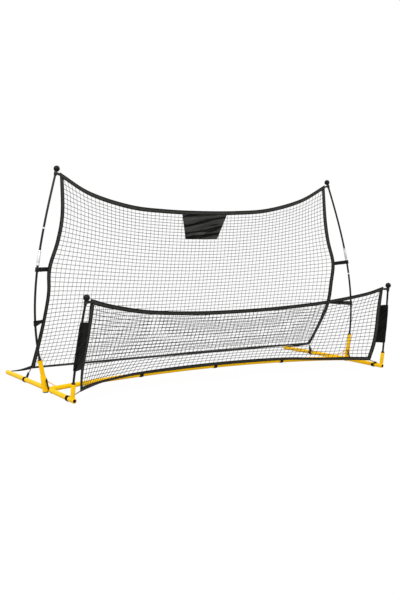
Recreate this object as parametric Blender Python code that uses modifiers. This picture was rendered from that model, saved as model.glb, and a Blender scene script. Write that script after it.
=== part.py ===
"""Two-sided rebound net: a knock-down steel floor frame, two tall and two low bowed poles,
a tall and a low net with webbing hems, and the straps, caps, plugs and snap buttons that hold it.

Metres, +Z up, +Y is the side of the tall net's foot. The floor is Z = 0. Shapes are written
about the hub line, where the cross tube meets both rails, and one empty shifts that line so
that the middle of the object's box stands over the origin.
"""
import math

import bmesh
import bpy
import numpy as np
from mathutils import Vector
from mathutils.bvhtree import BVHTree

# Clearance between pieces that touch
FIT = 0.0003
# Gap between cloth or webbing and the hem that it is sewn to
SEWN_GAP = 0.0012
# How far a cutter runs past the face that it cuts
OVERSHOOT = 0.010
# Points closer than this are one point
MERGE = 0.00001
SHARP_ANGLE = 35.0

# Floor frame
TRACK = 2.100
REAR_REACH = 0.655
FRONT_REACH = 0.335
TUBE_OD = 0.026
TUBE_WALL = 0.0012
HUB_LIFT = 0.004
FRONT_SEAM = 0.050
CROSS_SEAM = 0.065
SPIGOT_LENGTH = 0.050
SWAGE_LENGTH = 0.0015
BORE_STEP = 0.004
STUB_BORE_DEPTH = 0.020
MIDDLE_TUBE = 0.680
CROSS_RISE = 0.039
PLUG_FLANGE = 0.003
PLUG_DEPTH = 0.015

# Sleeve that carries the tall pole's socket
SLEEVE_OD = 0.030
SLEEVE_OFFSET = 0.015
SLEEVE_BACK = 0.010
SLEEVE_LEAN = 0.150
SLEEVE_TOP = 0.090
SLEEVE_BORE_FLOOR = 0.034
FOOT_STEM = 0.010
FOOT_STEM_LENGTH = 0.006
SOCKET_OD = 0.024
SOCKET_TOP = 0.173
SOCKET_BOTTOM = 0.038
SOCKET_FLARE = 0.0015
FLARE_LENGTH = 0.012
ROD_DIAMETER = 0.005
ROD_TOP = 0.074
CROSS_ROD_REACH = 0.053
REAR_ROD_REACH = 0.115
FRONT_ROD_REACH = 0.030
FRONT_ROD_OUT = 0.0125
FRONT_ROD_START = (-0.0115, -0.0115)

# Post that carries the low pole
POST_OD = 0.023
POST_OFFSET = 0.004
POST_INSET = 0.013
POST_LEAN = 0.150
POST_TOP = 0.098
POST_FLOOR = 0.004

# Snap buttons
BUTTON_DIAMETER = 0.006
BUTTON_DOME = 0.0015
BUTTON_PROUD = 0.0030
BUTTON_LENGTH = 0.0085
BUTTON_TRAVEL = 0.0025
BUTTON_FORWARD = 0.25
SOCKET_BUTTON_Z = 0.0745
RAIL_BUTTON_INSET = 0.012
CROSS_BUTTON_INSET = 0.020
RAIL_BUTTON_DOWN = 35.0

# Poles, their caps and ferrules
POLE_DIAMETER = 0.012
POLE_INSERT = 0.060
POLE_FOOT_LEAN = (0.180, 0.050)
TALL_TIP_OFFSET = -0.099
TALL_TIP_BACK = 0.103
TALL_TIP_Z = 1.186
TALL_TIP_LEAN = (-0.310, 0.130)
LOW_FOOT_LEAN = (-0.050, -0.150)
LOW_TIP_OFFSET = -0.037
LOW_TIP_FRONT = 0.409
LOW_TIP_Z = 0.529
LOW_TIP_LEAN = (-0.125, -0.180)
COLLAR_DIAMETER = 0.0225
TALL_COLLAR = 0.008
LOW_COLLAR = 0.005
COLLAR_SKIRT = 0.020
COLLAR_EDGE = 0.001
COLLAR_TOP_WALL = 0.002
TALL_STRAIGHT = 0.050
LOW_STRAIGHT = 0.040
FERRULE_LOW = 0.670
FERRULE_HIGH = 0.750
FERRULE_OD = 0.0165
CAP_BALL = 0.034
CAP_NECK = 0.015
CAP_MOUTH = 0.018
CAP_NECK_LENGTH = 0.022
CAP_FLARE = 0.006
CAP_BORE_ABOVE = 0.004

# Nets and webbing
WEBBING = 0.025
WEBBING_THICK = 0.003
STRAP_THICK = 0.0018
CLOTH_THICK = 0.0014
NET_STRAND = 0.005
NET_THICK = 0.0024
TALL_GAPS = (16, 8)
LOW_GAPS = (20, 4)
HEM_STANDOFF = 0.0170
HEM_RISE = 0.004
LINE_STEPS = 24
NET_PASSES = 600

# Outlines of the tall net, right half, from the middle or the foot outwards: X, Y, Z
TALL_TOP = [(0.0, 0.147, 0.981), (0.25, 0.145, 0.986), (0.49, 0.137, 1.006), (0.745, 0.124, 1.071),
            (0.932, 0.105, 1.168)]
TALL_SIDE = [(1.026, 0.341, 0.077), (1.027, 0.238, 0.220), (1.025, 0.142, 0.380), (1.015, 0.101, 0.520),
             (1.015, 0.086, 0.655), (0.967, 0.085, 0.800), (0.938, 0.086, 0.950), (0.932, 0.105, 1.168)]
TALL_BOTTOM = [(0.0, 0.346, 0.077), (0.5, 0.345, 0.077), (1.026, 0.341, 0.077)]

# Outlines of the low net, right half; the bottom's middle follows the cross tube
LOW_TOP = [(0.0, -0.205, 0.408), (0.3, -0.225, 0.415), (0.6, -0.285, 0.440), (0.85, -0.370, 0.485),
           (0.984, -0.397, 0.522)]
LOW_SIDE = [(0.995, -0.285, 0.045), (1.006, -0.318, 0.150), (1.001, -0.346, 0.250), (0.991, -0.369, 0.380),
            (0.984, -0.397, 0.522)]
LOW_BOTTOM_REST = [(0.75, -0.058, 0.038), (0.90, -0.190, 0.043), (0.995, -0.285, 0.045)]
LOW_BOTTOM_HELD = 0.55

# Straps and patch
POLE_STRAPS = ((0.655, 0.022), (0.376, 0.026))
HEM_STRAP_X = (-0.5, 0.0, 0.5)
HEM_STRAP_WIDTH = 0.022
PANEL_BOTTOM = 0.165
PANEL_TOP = 0.405
CAP_LOOP_BELOW = 0.023
CAP_LOOP_WIDTH = 0.011
CORNER_STRAP_Y = 0.355
CORNER_STRAP_WIDTH = 0.020
TIE_Y = 0.630
TIE_WIDTH = 0.020
TIE_TIP_WIDTH = 0.010
LOW_STRAP_Y = 0.262
LOW_STRAP_WIDTH = 0.022
TIP_TAPER = 0.6
# Where a strap's tip lies from its net's corner: across, back, up
CORNER_STRAP_TIP = (-0.006, 0.004, -WEBBING_THICK / 2 - FIT)
TIE_TIP = (-0.004, 0.006, 0.008)
LOW_STRAP_TIP = (0.0008, 0.008, 0.004)
# Left side, right side and height of the patch's top and foot
PATCH_TOP = (-0.140, 0.180, 0.953)
PATCH_FOOT = (-0.096, 0.130, 0.810)
PATCH_COLUMNS = 8
PATCH_ROWS = 4

YELLOW = ("yellow powder coat", (1.0, 0.57, 0.0), 0.35, 0.0)
BLACK_PLASTIC = ("black plastic", (0.02, 0.02, 0.02), 0.45, 0.0)
GREY_PLASTIC = ("grey plastic", (0.12, 0.11, 0.10), 0.6, 0.0)
POLE_BLACK = ("black fibreglass", (0.015, 0.014, 0.014), 0.3, 0.0)
ALUMINIUM = ("aluminium", (0.78, 0.77, 0.77), 0.35, 1.0)
STEEL = ("dark steel", (0.10, 0.09, 0.08), 0.4, 1.0)
WEB = ("black webbing", (0.025, 0.025, 0.022), 0.85, 0.0)
CLOTH = ("black nylon", (0.02, 0.02, 0.02), 0.7, 0.0)
NET = ("dark net", (0.08, 0.08, 0.08), 0.9, 0.0)

HALF = TRACK / 2
TUBE_R = TUBE_OD / 2
BORE_R = TUBE_R - TUBE_WALL
SPIGOT_R = BORE_R - FIT
SPIGOT_BORE_R = SPIGOT_R - TUBE_WALL
HUB_Z = TUBE_R + HUB_LIFT
SOCKET_R = SOCKET_OD / 2
SOCKET_BORE_R = SOCKET_R - TUBE_WALL
SLEEVE_R = SLEEVE_OD / 2
POST_R = POST_OD / 2
POST_BORE_R = POST_R - TUBE_WALL
POLE_R = POLE_DIAMETER / 2
ROUND = 14
POLE_SIDES = 8
REAR_END = REAR_REACH + FIT + PLUG_FLANGE
FRONT_END = LOW_TIP_FRONT + CAP_BALL / 2
HUB_Y = (FRONT_END - REAR_END) / 2

for old in list(bpy.data.objects):
    bpy.data.objects.remove(old, do_unlink=True)

parts = bpy.data.collections.new("rebound_net")
bpy.context.scene.collection.children.link(parts)
cutters = bpy.data.collections.new("cutters")
bpy.context.scene.collection.children.link(cutters)

hub_line = bpy.data.objects.new("hub_line", None)
hub_line.location = (0.0, HUB_Y, 0.0)
parts.objects.link(hub_line)

materials = {}


def finish(kind):
    """The Principled material for one of the finishes above."""
    name, colour, roughness, metallic = kind
    if name not in materials:
        material = bpy.data.materials.new(name)
        material.use_nodes = True
        shader = material.node_tree.nodes["Principled BSDF"]
        shader.inputs["Base Color"].default_value = (*colour, 1.0)
        shader.inputs["Roughness"].default_value = roughness
        shader.inputs["Metallic"].default_value = metallic
        materials[name] = material
    return materials[name]


def place(obj, kind=None, parent=hub_line):
    """Link an object as a part of the net, or as a cutter where it has no finish."""
    if kind is None:
        cutters.objects.link(obj)
        obj.hide_render = True
        obj.display_type = "WIRE"
    else:
        parts.objects.link(obj)
        obj.data.materials.clear()
        obj.data.materials.append(finish(kind))
    obj.parent = parent
    return obj


def unit(vector):
    vector = np.asarray(vector, float)
    return vector / np.linalg.norm(vector)


def mirrored(point, side):
    """A point of the right half, moved to the side named by +1 or -1."""
    return (point[0] * side, point[1], point[2])


def tube_curve(name, stations, sides, closed_ends=True):
    """A curve whose round section has the radius given at each station of its path."""
    curve = bpy.data.curves.new(name, "CURVE")
    curve.dimensions = "3D"
    curve.bevel_depth = 1.0
    curve.bevel_resolution = (sides - 4) // 2
    curve.use_fill_caps = closed_ends
    spline = curve.splines.new("POLY")
    spline.points.add(len(stations) - 1)
    for slot, (point, radius) in zip(spline.points, stations):
        slot.co = (*point, 1.0)
        slot.radius = radius
    spline.use_smooth = True
    return bpy.data.objects.new(name, curve)


def as_mesh(obj):
    """The curve object made a mesh object, with its caps welded on."""
    holder = bpy.context.scene.collection
    holder.objects.link(obj)
    bpy.context.view_layer.update()
    evaluated = obj.evaluated_get(bpy.context.evaluated_depsgraph_get())
    mesh = bpy.data.meshes.new_from_object(evaluated)
    name = obj.name
    matrix = obj.matrix_world.copy()
    bpy.data.objects.remove(obj, do_unlink=True)
    body = bmesh.new()
    body.from_mesh(mesh)
    bmesh.ops.remove_doubles(body, verts=body.verts, dist=MERGE)
    bmesh.ops.recalc_face_normals(body, faces=body.faces)
    body.to_mesh(mesh)
    body.free()
    made = bpy.data.objects.new(name, mesh)
    made.matrix_world = matrix
    return made


def rod(name, stations, sides=ROUND):
    """A solid round bar as a mesh object."""
    return as_mesh(tube_curve(name, stations, sides))


def combine(target, other, operation):
    """Add a Boolean of the target with another object, which becomes a hidden cutter."""
    place(other)
    modifier = target.modifiers.new(other.name, "BOOLEAN")
    modifier.object = other
    modifier.operation = operation
    modifier.solver = "EXACT"


def smooth_sharp(obj):
    obj.data.shade_smooth()
    obj.data.set_sharp_from_angle(angle=math.radians(SHARP_ANGLE))


def turned(name, profile, origin, direction, steps=ROUND):
    """A turned piece: the profile, top to bottom on its outer side, about an axis at origin."""
    mesh = bpy.data.meshes.new(name)
    points = [(radius, 0.0, height) for radius, height in profile]
    mesh.from_pydata(points, [(i, i + 1) for i in range(len(points) - 1)], [])
    obj = bpy.data.objects.new(name, mesh)
    screw = obj.modifiers.new("turn", "SCREW")
    screw.axis = "Z"
    screw.steps = steps
    screw.render_steps = steps
    screw.use_merge_vertices = True
    screw.merge_threshold = MERGE
    obj.location = origin
    obj.rotation_euler = Vector(direction).to_track_quat("Z", "Y").to_euler()
    return obj


def hermite(foot, tip, foot_lean, tip_lean, z):
    """X and Y at height z of a pole that leaves its foot and reaches its tip at given leans."""
    rise = tip[2] - foot[2]
    t = (z - foot[2]) / rise
    from_foot = 2 * t ** 3 - 3 * t ** 2 + 1
    foot_pull = (t ** 3 - 2 * t ** 2 + t) * rise
    tip_pull = (t ** 3 - t ** 2) * rise
    places = []
    for axis in (0, 1):
        start = from_foot * foot[axis] + foot_pull * foot_lean[axis]
        end = (1 - from_foot) * tip[axis] + tip_pull * tip_lean[axis]
        places.append(start + end)
    return (places[0], places[1], z)


# Where the floor frame's axes run
def cross_point(x):
    """The cross tube's axis, which arches up between the hubs."""
    return (x, 0.0, HUB_Z + CROSS_RISE * (1 - (x / HALF) ** 2))


def rail_point(y):
    """The right rail's axis: lifted at the hub, on the floor at both ends."""
    reach = REAR_REACH if y > 0 else FRONT_REACH
    return (HALF, y, HUB_Z - HUB_LIFT * abs(y) / reach)


def sleeve_point(z):
    """The right sleeve's axis, outboard of the rail and leaning out."""
    return (HALF + SLEEVE_OFFSET + SLEEVE_LEAN * (z - HUB_LIFT), SLEEVE_BACK, z)


def foot_point(z):
    """The upright axis of the right foot, under the sleeve."""
    return (HALF + SLEEVE_OFFSET, SLEEVE_BACK, z)


def socket_point(z):
    """The socket above the sleeve, and the straight foot of the tall pole in it."""
    bend = sleeve_point(SLEEVE_TOP)
    above = z - SLEEVE_TOP
    return (bend[0] + POLE_FOOT_LEAN[0] * above, bend[1] + POLE_FOOT_LEAN[1] * above, z)


TALL_FOOT = socket_point(SOCKET_TOP)
TALL_TIP = (HALF + TALL_TIP_OFFSET, TALL_TIP_BACK, TALL_TIP_Z)
POST_FOOT = (HALF + POST_OFFSET, -(FRONT_REACH - POST_INSET), TUBE_R)
LOW_FOOT = (POST_FOOT[0], POST_FOOT[1] - POST_LEAN * (POST_TOP - TUBE_R), POST_TOP)
LOW_TIP = (HALF + LOW_TIP_OFFSET, -LOW_TIP_FRONT, LOW_TIP_Z)


def tall_point(z):
    if z < SOCKET_TOP:
        return socket_point(z)
    return hermite(TALL_FOOT, TALL_TIP, POLE_FOOT_LEAN, TALL_TIP_LEAN, z)


def post_point(z):
    return (POST_FOOT[0], POST_FOOT[1] - POST_LEAN * (z - TUBE_R), z)


def low_point(z):
    if z < POST_TOP:
        return post_point(z)
    return hermite(LOW_FOOT, LOW_TIP, LOW_FOOT_LEAN, LOW_TIP_LEAN, z)


def side_name(side):
    return "right" if side > 0 else "left"


# Floor frame
def make_side_frame(side):
    """Rear rail, sleeve, cross stub, front stub and three stiffening rods, welded in one."""
    name = "side_frame_" + side_name(side)
    seam = rail_point(-FRONT_SEAM)
    swage = rail_point(-FRONT_SEAM + SWAGE_LENGTH)
    spigot_end = rail_point(-FRONT_SEAM - SPIGOT_LENGTH)
    main = [(rail_point(REAR_REACH), TUBE_R), (rail_point(0.0), TUBE_R), (swage, TUBE_R),
            (seam, SPIGOT_R), (spigot_end, SPIGOT_R)]
    frame = rod(name, [(mirrored(point, side), radius) for point, radius in main])

    stub_x = HALF - CROSS_SEAM
    stub = [(cross_point(HALF), TUBE_R), (cross_point(stub_x + SWAGE_LENGTH), TUBE_R),
            (cross_point(stub_x), SPIGOT_R), (cross_point(stub_x - SPIGOT_LENGTH), SPIGOT_R)]
    combine(frame, rod(name + "_stub", [(mirrored(p, side), r) for p, r in stub]), "UNION")

    sleeve_foot = HUB_LIFT + SLEEVE_LEAN * SLEEVE_R
    sleeve = [(sleeve_point(sleeve_foot), SLEEVE_R), (sleeve_point(SLEEVE_TOP), SLEEVE_R)]
    combine(frame, rod(name + "_sleeve", [(mirrored(p, side), r) for p, r in sleeve]), "UNION")

    rod_top = sleeve_point(ROD_TOP)
    front_top = (rod_top[0] + FRONT_ROD_START[0], rod_top[1] + FRONT_ROD_START[1], ROD_TOP)
    front_foot = rail_point(-FRONT_ROD_REACH)
    rod_ends = {
        "cross_rod": (rod_top, cross_point(HALF - CROSS_ROD_REACH)),
        "rear_rod": (rod_top, rail_point(REAR_ROD_REACH)),
        "front_rod": (front_top, (front_foot[0] + FRONT_ROD_OUT, front_foot[1], front_foot[2])),
    }
    for rod_name, ends in rod_ends.items():
        line = [(mirrored(point, side), ROD_DIAMETER / 2) for point in ends]
        combine(frame, rod(name + "_" + rod_name, line, 8), "UNION")

    bores = {
        "rail_bore": [(rail_point(REAR_REACH + OVERSHOOT), BORE_R), (rail_point(0.0), BORE_R),
                      (rail_point(-FRONT_SEAM + BORE_STEP), BORE_R), (seam, SPIGOT_BORE_R),
                      (rail_point(-FRONT_SEAM - SPIGOT_LENGTH - OVERSHOOT), SPIGOT_BORE_R)],
        "stub_bore": [(cross_point(stub_x + STUB_BORE_DEPTH), SPIGOT_BORE_R),
                      (cross_point(stub_x - SPIGOT_LENGTH - OVERSHOOT), SPIGOT_BORE_R)],
        "sleeve_bore": [(sleeve_point(SLEEVE_BORE_FLOOR), SOCKET_R + FIT),
                        (sleeve_point(SLEEVE_TOP + OVERSHOOT), SOCKET_R + FIT)],
        "foot_bore": [(foot_point(0.0), FOOT_STEM / 2 + FIT),
                      (foot_point(HUB_LIFT + FOOT_STEM_LENGTH + FIT), FOOT_STEM / 2 + FIT)],
    }
    for bore_name, line in bores.items():
        cutter = rod(name + "_" + bore_name, [(mirrored(p, side), r) for p, r in line])
        combine(frame, cutter, "DIFFERENCE")
    combine(frame, button_hole(name + "_socket_hole", socket_button(side)), "DIFFERENCE")
    combine(frame, button_hole(name + "_rail_hole", rail_button(side)), "DIFFERENCE")
    return place(frame, YELLOW)


def make_foot(side):
    """Plastic foot under the sleeve, with a stem pushed up into it."""
    base = mirrored(foot_point(0.0), side)
    top = HUB_LIFT - FIT
    profile = [(0.0, top + FOOT_STEM_LENGTH), (FOOT_STEM / 2, top + FOOT_STEM_LENGTH), (FOOT_STEM / 2, top),
               (SLEEVE_R, top), (SLEEVE_R, 0.0), (0.0, 0.0)]
    foot = turned("hub_foot_" + side_name(side), profile, base, (0, 0, 1))
    return place(foot, GREY_PLASTIC)


def make_front_rail(side):
    """Front rail pushed over the side frame's stub, with the low pole's post welded on it."""
    name = "front_rail_" + side_name(side)
    start = rail_point(-FRONT_SEAM - FIT)
    end = rail_point(-FRONT_REACH)
    rail = rod(name, [(mirrored(start, side), TUBE_R), (mirrored(end, side), TUBE_R)])
    post = [(mirrored(post_point(TUBE_R), side), POST_R), (mirrored(post_point(POST_TOP), side), POST_R)]
    combine(rail, rod(name + "_post", post), "UNION")
    bore = [(rail_point(-FRONT_SEAM + OVERSHOOT), BORE_R), (rail_point(-FRONT_REACH - OVERSHOOT), BORE_R)]
    combine(rail, rod(name + "_bore", [(mirrored(p, side), r) for p, r in bore]), "DIFFERENCE")
    post_bore = [(post_point(TUBE_OD + POST_FLOOR), POST_BORE_R),
                 (post_point(POST_TOP + OVERSHOOT), POST_BORE_R)]
    combine(rail, rod(name + "_post_bore", [(mirrored(p, side), r) for p, r in post_bore]), "DIFFERENCE")
    combine(rail, button_hole(name + "_hole", rail_button(side)), "DIFFERENCE")
    return place(rail, YELLOW)


def make_plug(name, rail_end, inward):
    """Push-in plug with a thin flange for a rail's open end."""
    end = np.array(rail_end)
    into = unit(inward)
    stations = [(end - into * (FIT + PLUG_FLANGE), TUBE_R), (end - into * FIT, TUBE_R),
                (end - into * FIT / 2, SPIGOT_R), (end + into * PLUG_DEPTH, SPIGOT_R)]
    return place(rod(name, stations), BLACK_PLASTIC)


def make_cross_tubes():
    """Three arched tubes: the middle one's swaged ends push into the side ones."""
    seam = MIDDLE_TUBE / 2
    outer_end = HALF - CROSS_SEAM - FIT
    for side in (-1, 1):
        line = [cross_point(x) for x in np.linspace(seam + FIT, outer_end, 5)]
        name = "cross_tube_" + side_name(side)
        tube = rod(name, [(mirrored(point, side), TUBE_R) for point in line])
        bore_line = [cross_point(seam - OVERSHOOT)] + line[1:-1] + [cross_point(outer_end + OVERSHOOT)]
        bore = rod(name + "_bore", [(mirrored(point, side), BORE_R) for point in bore_line])
        combine(tube, bore, "DIFFERENCE")
        combine(tube, button_hole(name + "_hole", cross_button(side)), "DIFFERENCE")
        place(tube, YELLOW)
    reach = seam + SPIGOT_LENGTH
    full = seam - SWAGE_LENGTH
    stations = [(cross_point(-reach), SPIGOT_R), (cross_point(-seam), SPIGOT_R)]
    stations += [(cross_point(x), TUBE_R) for x in np.linspace(-full, full, 7)]
    stations += [(cross_point(seam), SPIGOT_R), (cross_point(reach), SPIGOT_R)]
    middle = rod("cross_tube_middle", stations)
    bore_end = reach + OVERSHOOT
    bore_line = [cross_point(x) for x in np.linspace(-bore_end, bore_end, 9)]
    combine(middle, rod("middle_bore", [(point, SPIGOT_BORE_R) for point in bore_line]), "DIFFERENCE")
    for side in (-1, 1):
        combine(middle, button_hole("middle_hole_" + side_name(side), cross_button(side)), "DIFFERENCE")
    place(middle, YELLOW)


def make_socket(side):
    """Bent tube in the sleeve that takes the tall pole, flared at its mouth."""
    name = "pole_socket_" + side_name(side)
    stations = [(sleeve_point(SOCKET_BOTTOM), SOCKET_R), (sleeve_point(SLEEVE_TOP), SOCKET_R),
                (socket_point(SOCKET_TOP - FLARE_LENGTH), SOCKET_R),
                (socket_point(SOCKET_TOP), SOCKET_R + SOCKET_FLARE)]
    socket = rod(name, [(mirrored(p, side), r) for p, r in stations])
    bore = [(sleeve_point(SOCKET_BOTTOM - OVERSHOOT), SOCKET_BORE_R), (sleeve_point(SLEEVE_TOP), SOCKET_BORE_R),
            (socket_point(SOCKET_TOP + OVERSHOOT), SOCKET_BORE_R)]
    combine(socket, rod(name + "_bore", [(mirrored(p, side), r) for p, r in bore]), "DIFFERENCE")
    combine(socket, button_hole(name + "_hole", socket_button(side)), "DIFFERENCE")
    return place(socket, YELLOW)


# Snap buttons: where each comes out of its tube, and which way it points
def socket_button(side):
    axis_point = np.array(mirrored(sleeve_point(SOCKET_BUTTON_Z), side))
    along = unit((SLEEVE_LEAN * side, 0.0, 1.0))
    inboard = np.array((-side, -BUTTON_FORWARD, 0.0))
    out = unit(inboard - along * inboard.dot(along))
    return axis_point, out, SLEEVE_R


def rail_button(side):
    axis_point = np.array(mirrored(rail_point(-FRONT_SEAM - RAIL_BUTTON_INSET), side))
    down = math.radians(RAIL_BUTTON_DOWN)
    return axis_point, np.array((side * math.cos(down), 0.0, -math.sin(down))), TUBE_R


def cross_button(side):
    axis_point = np.array(mirrored(cross_point(MIDDLE_TUBE / 2 + CROSS_BUTTON_INSET), side))
    return axis_point, np.array((0.0, 1.0, 0.0)), TUBE_R


def button_hole(name, button):
    """Hole for a button, as deep as its pin reaches when it is pressed."""
    axis_point, out, radius = button
    pressed = radius + BUTTON_PROUD - BUTTON_LENGTH - BUTTON_TRAVEL
    inner = axis_point + out * (pressed - FIT)
    outer = axis_point + out * (radius + OVERSHOOT)
    return rod(name, [(inner, BUTTON_DIAMETER / 2 + FIT), (outer, BUTTON_DIAMETER / 2 + FIT)])


def make_button(name, button):
    """Domed pin that slides in along its own axis against a leaf spring in the tube."""
    axis_point, out, radius = button
    slide = bpy.data.objects.new(name + "_axis", None)
    slide.location = axis_point + out * (radius + BUTTON_PROUD)
    slide.rotation_euler = Vector(out).to_track_quat("Z", "Y").to_euler()
    slide.parent = hub_line
    parts.objects.link(slide)
    pin_r = BUTTON_DIAMETER / 2
    arc = np.linspace(0, math.pi / 2, 3)
    dome = [(pin_r * math.sin(a), BUTTON_DOME * (math.cos(a) - 1)) for a in arc]
    profile = dome + [(pin_r, -BUTTON_LENGTH), (0.0, -BUTTON_LENGTH)]
    pin = turned(name, profile, (0, 0, 0), (0, 0, 1), 10)
    return place(pin, STEEL, slide)


# Poles
def cap_mouth(tip_z):
    """Height at which a pole enters its cap."""
    return tip_z - CAP_BALL / 2 - CAP_NECK_LENGTH


def cap_line(pole, tip_z):
    """Centre of the ball and direction of the cap, in line with the end of its pole."""
    tip = np.array(pole(tip_z))
    return tip, unit(tip - np.array(pole(cap_mouth(tip_z))))


def cap_seat(pole, tip_z):
    """End of a pole at the bottom of its cap's bore."""
    tip, direction = cap_line(pole, tip_z)
    return tip + direction * (CAP_BORE_ABOVE - FIT)


def make_tall_pole(side):
    """Lower pole with its moulded stop collar, aluminium ferrule and upper pole."""
    word = side_name(side)
    middle = (FERRULE_LOW + FERRULE_HIGH) / 2
    skirt_r = SOCKET_BORE_R - FIT
    stations = [(tall_point(SOCKET_TOP - POLE_INSERT), POLE_R),
                (tall_point(SOCKET_TOP - COLLAR_SKIRT), POLE_R),
                (tall_point(SOCKET_TOP - COLLAR_SKIRT + COLLAR_EDGE), skirt_r),
                (tall_point(SOCKET_TOP + FIT), skirt_r),
                (tall_point(SOCKET_TOP + 2 * FIT), COLLAR_DIAMETER / 2),
                (tall_point(SOCKET_TOP + TALL_COLLAR), POLE_R + COLLAR_TOP_WALL),
                (tall_point(SOCKET_TOP + TALL_COLLAR + COLLAR_EDGE), POLE_R)]
    stations += [(tall_point(z), POLE_R) for z in np.linspace(SOCKET_TOP + TALL_STRAIGHT, FERRULE_LOW, 9)]
    stations += [(tall_point(middle - FIT), POLE_R)]
    pole = rod("tall_pole_lower_" + word, [(mirrored(p, side), r) for p, r in stations], POLE_SIDES)
    place(pole, POLE_BLACK)

    stations = [(tall_point(middle + FIT), POLE_R)]
    stations += [(tall_point(z), POLE_R) for z in np.linspace(FERRULE_HIGH, cap_mouth(TALL_TIP_Z), 8)]
    stations += [(cap_seat(tall_point, TALL_TIP_Z), POLE_R)]
    pole = rod("tall_pole_upper_" + word, [(mirrored(p, side), r) for p, r in stations], POLE_SIDES)
    place(pole, POLE_BLACK)

    line = [tall_point(z) for z in (FERRULE_LOW, middle - FIT, middle + FIT, FERRULE_HIGH)]
    ferrule = tube_curve("ferrule_" + word, [(mirrored(p, side), FERRULE_OD / 2) for p in line], 12, False)
    place(ferrule, ALUMINIUM)
    wall = ferrule.modifiers.new("wall", "SOLIDIFY")
    wall.thickness = FERRULE_OD / 2 - POLE_R - FIT
    wall.offset = -1.0


def make_low_pole(side):
    """Low pole with a moulded collar that stops on its post."""
    skirt_r = POST_BORE_R - FIT
    stations = [(low_point(POST_TOP - POLE_INSERT), POLE_R),
                (low_point(POST_TOP - COLLAR_SKIRT), POLE_R),
                (low_point(POST_TOP - COLLAR_SKIRT + COLLAR_EDGE), skirt_r),
                (low_point(POST_TOP + FIT), skirt_r),
                (low_point(POST_TOP + 2 * FIT), COLLAR_DIAMETER / 2),
                (low_point(POST_TOP + LOW_COLLAR), COLLAR_DIAMETER / 2),
                (low_point(POST_TOP + LOW_COLLAR + COLLAR_EDGE), POLE_R)]
    free = np.linspace(POST_TOP + LOW_STRAIGHT, cap_mouth(LOW_TIP_Z), 7)
    stations += [(low_point(z), POLE_R) for z in free]
    stations += [(cap_seat(low_point, LOW_TIP_Z), POLE_R)]
    pole = rod("low_pole_" + side_name(side), [(mirrored(p, side), r) for p, r in stations], POLE_SIDES)
    place(pole, POLE_BLACK)


def make_cap(name, side, pole, tip_z):
    """Ball cap with a short flared neck, bored for the pole's end."""
    centre, direction = cap_line(pole, tip_z)
    ball_r = CAP_BALL / 2
    neck_r = CAP_NECK / 2
    start = math.acos(neck_r / ball_r)
    ball = [(ball_r * math.cos(a), ball_r * math.sin(a)) for a in np.linspace(math.pi / 2, -start, 8)]
    ball[0] = (0.0, ball_r)
    foot = ball[-1][1] - CAP_NECK_LENGTH
    hole_r = POLE_R + FIT
    profile = ball + [(neck_r, foot + CAP_FLARE), (CAP_MOUTH / 2, foot), (hole_r, foot),
                      (hole_r, CAP_BORE_ABOVE), (0.0, CAP_BORE_ABOVE)]
    return place(turned(name, profile, mirrored(centre, side), mirrored(direction, side)), BLACK_PLASTIC)


# Nets
def smooth_line(points, count):
    """Evenly spaced points along a smooth line through the given points."""
    knots = [np.array(p, float) for p in points]
    knots = [2 * knots[0] - knots[1]] + knots + [2 * knots[-1] - knots[-2]]
    fine = []
    for a, b, c, d in zip(knots, knots[1:], knots[2:], knots[3:]):
        for t in np.linspace(0, 1, LINE_STEPS, endpoint=False):
            fine.append(0.5 * (2 * b + (c - a) * t + (2 * a - 5 * b + 4 * c - d) * t ** 2
                               + (3 * b - 3 * c + d - a) * t ** 3))
    fine.append(knots[-2])
    return even(np.array(fine), count)


def even(line, count, start=0.0, end=0.0):
    """The line cut back by start and end, in count equal steps."""
    steps = np.linalg.norm(np.diff(line, axis=0), axis=1)
    run = np.concatenate([[0.0], np.cumsum(steps)])
    wanted = np.linspace(start, run[-1] - end, count + 1)
    return np.stack([np.interp(wanted, run, line[:, axis]) for axis in range(3)], axis=1)


def whole(right_half):
    """A line over both halves from its right half, which starts in the middle."""
    left = [mirrored(p, -1) for p in reversed(right_half[1:])]
    return left + list(right_half)


def relaxed(left, right, bottom, top):
    """Points of a stretched net, each the mean of its four neighbours, between four edges."""
    across = len(bottom)
    up = len(left)
    grid = np.zeros((across, up, 3))
    for i in range(across):
        share = i / (across - 1)
        grid[i] = (1 - share) * left + share * right
    for i in range(across):
        low_error = bottom[i] - grid[i, 0]
        high_error = top[i] - grid[i, -1]
        for j in range(up):
            share = j / (up - 1)
            grid[i, j] += (1 - share) * low_error + share * high_error
    for turn in range(NET_PASSES):
        mean = (grid[:-2, 1:-1] + grid[2:, 1:-1] + grid[1:-1, :-2] + grid[1:-1, 2:]) / 4
        grid[1:-1, 1:-1] = mean
    return grid


def inward(edge, neighbours):
    """Unit steps from the points of a net's edge to the row beside it."""
    steps = neighbours - edge
    return steps / np.linalg.norm(steps, axis=1)[:, None]


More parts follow.
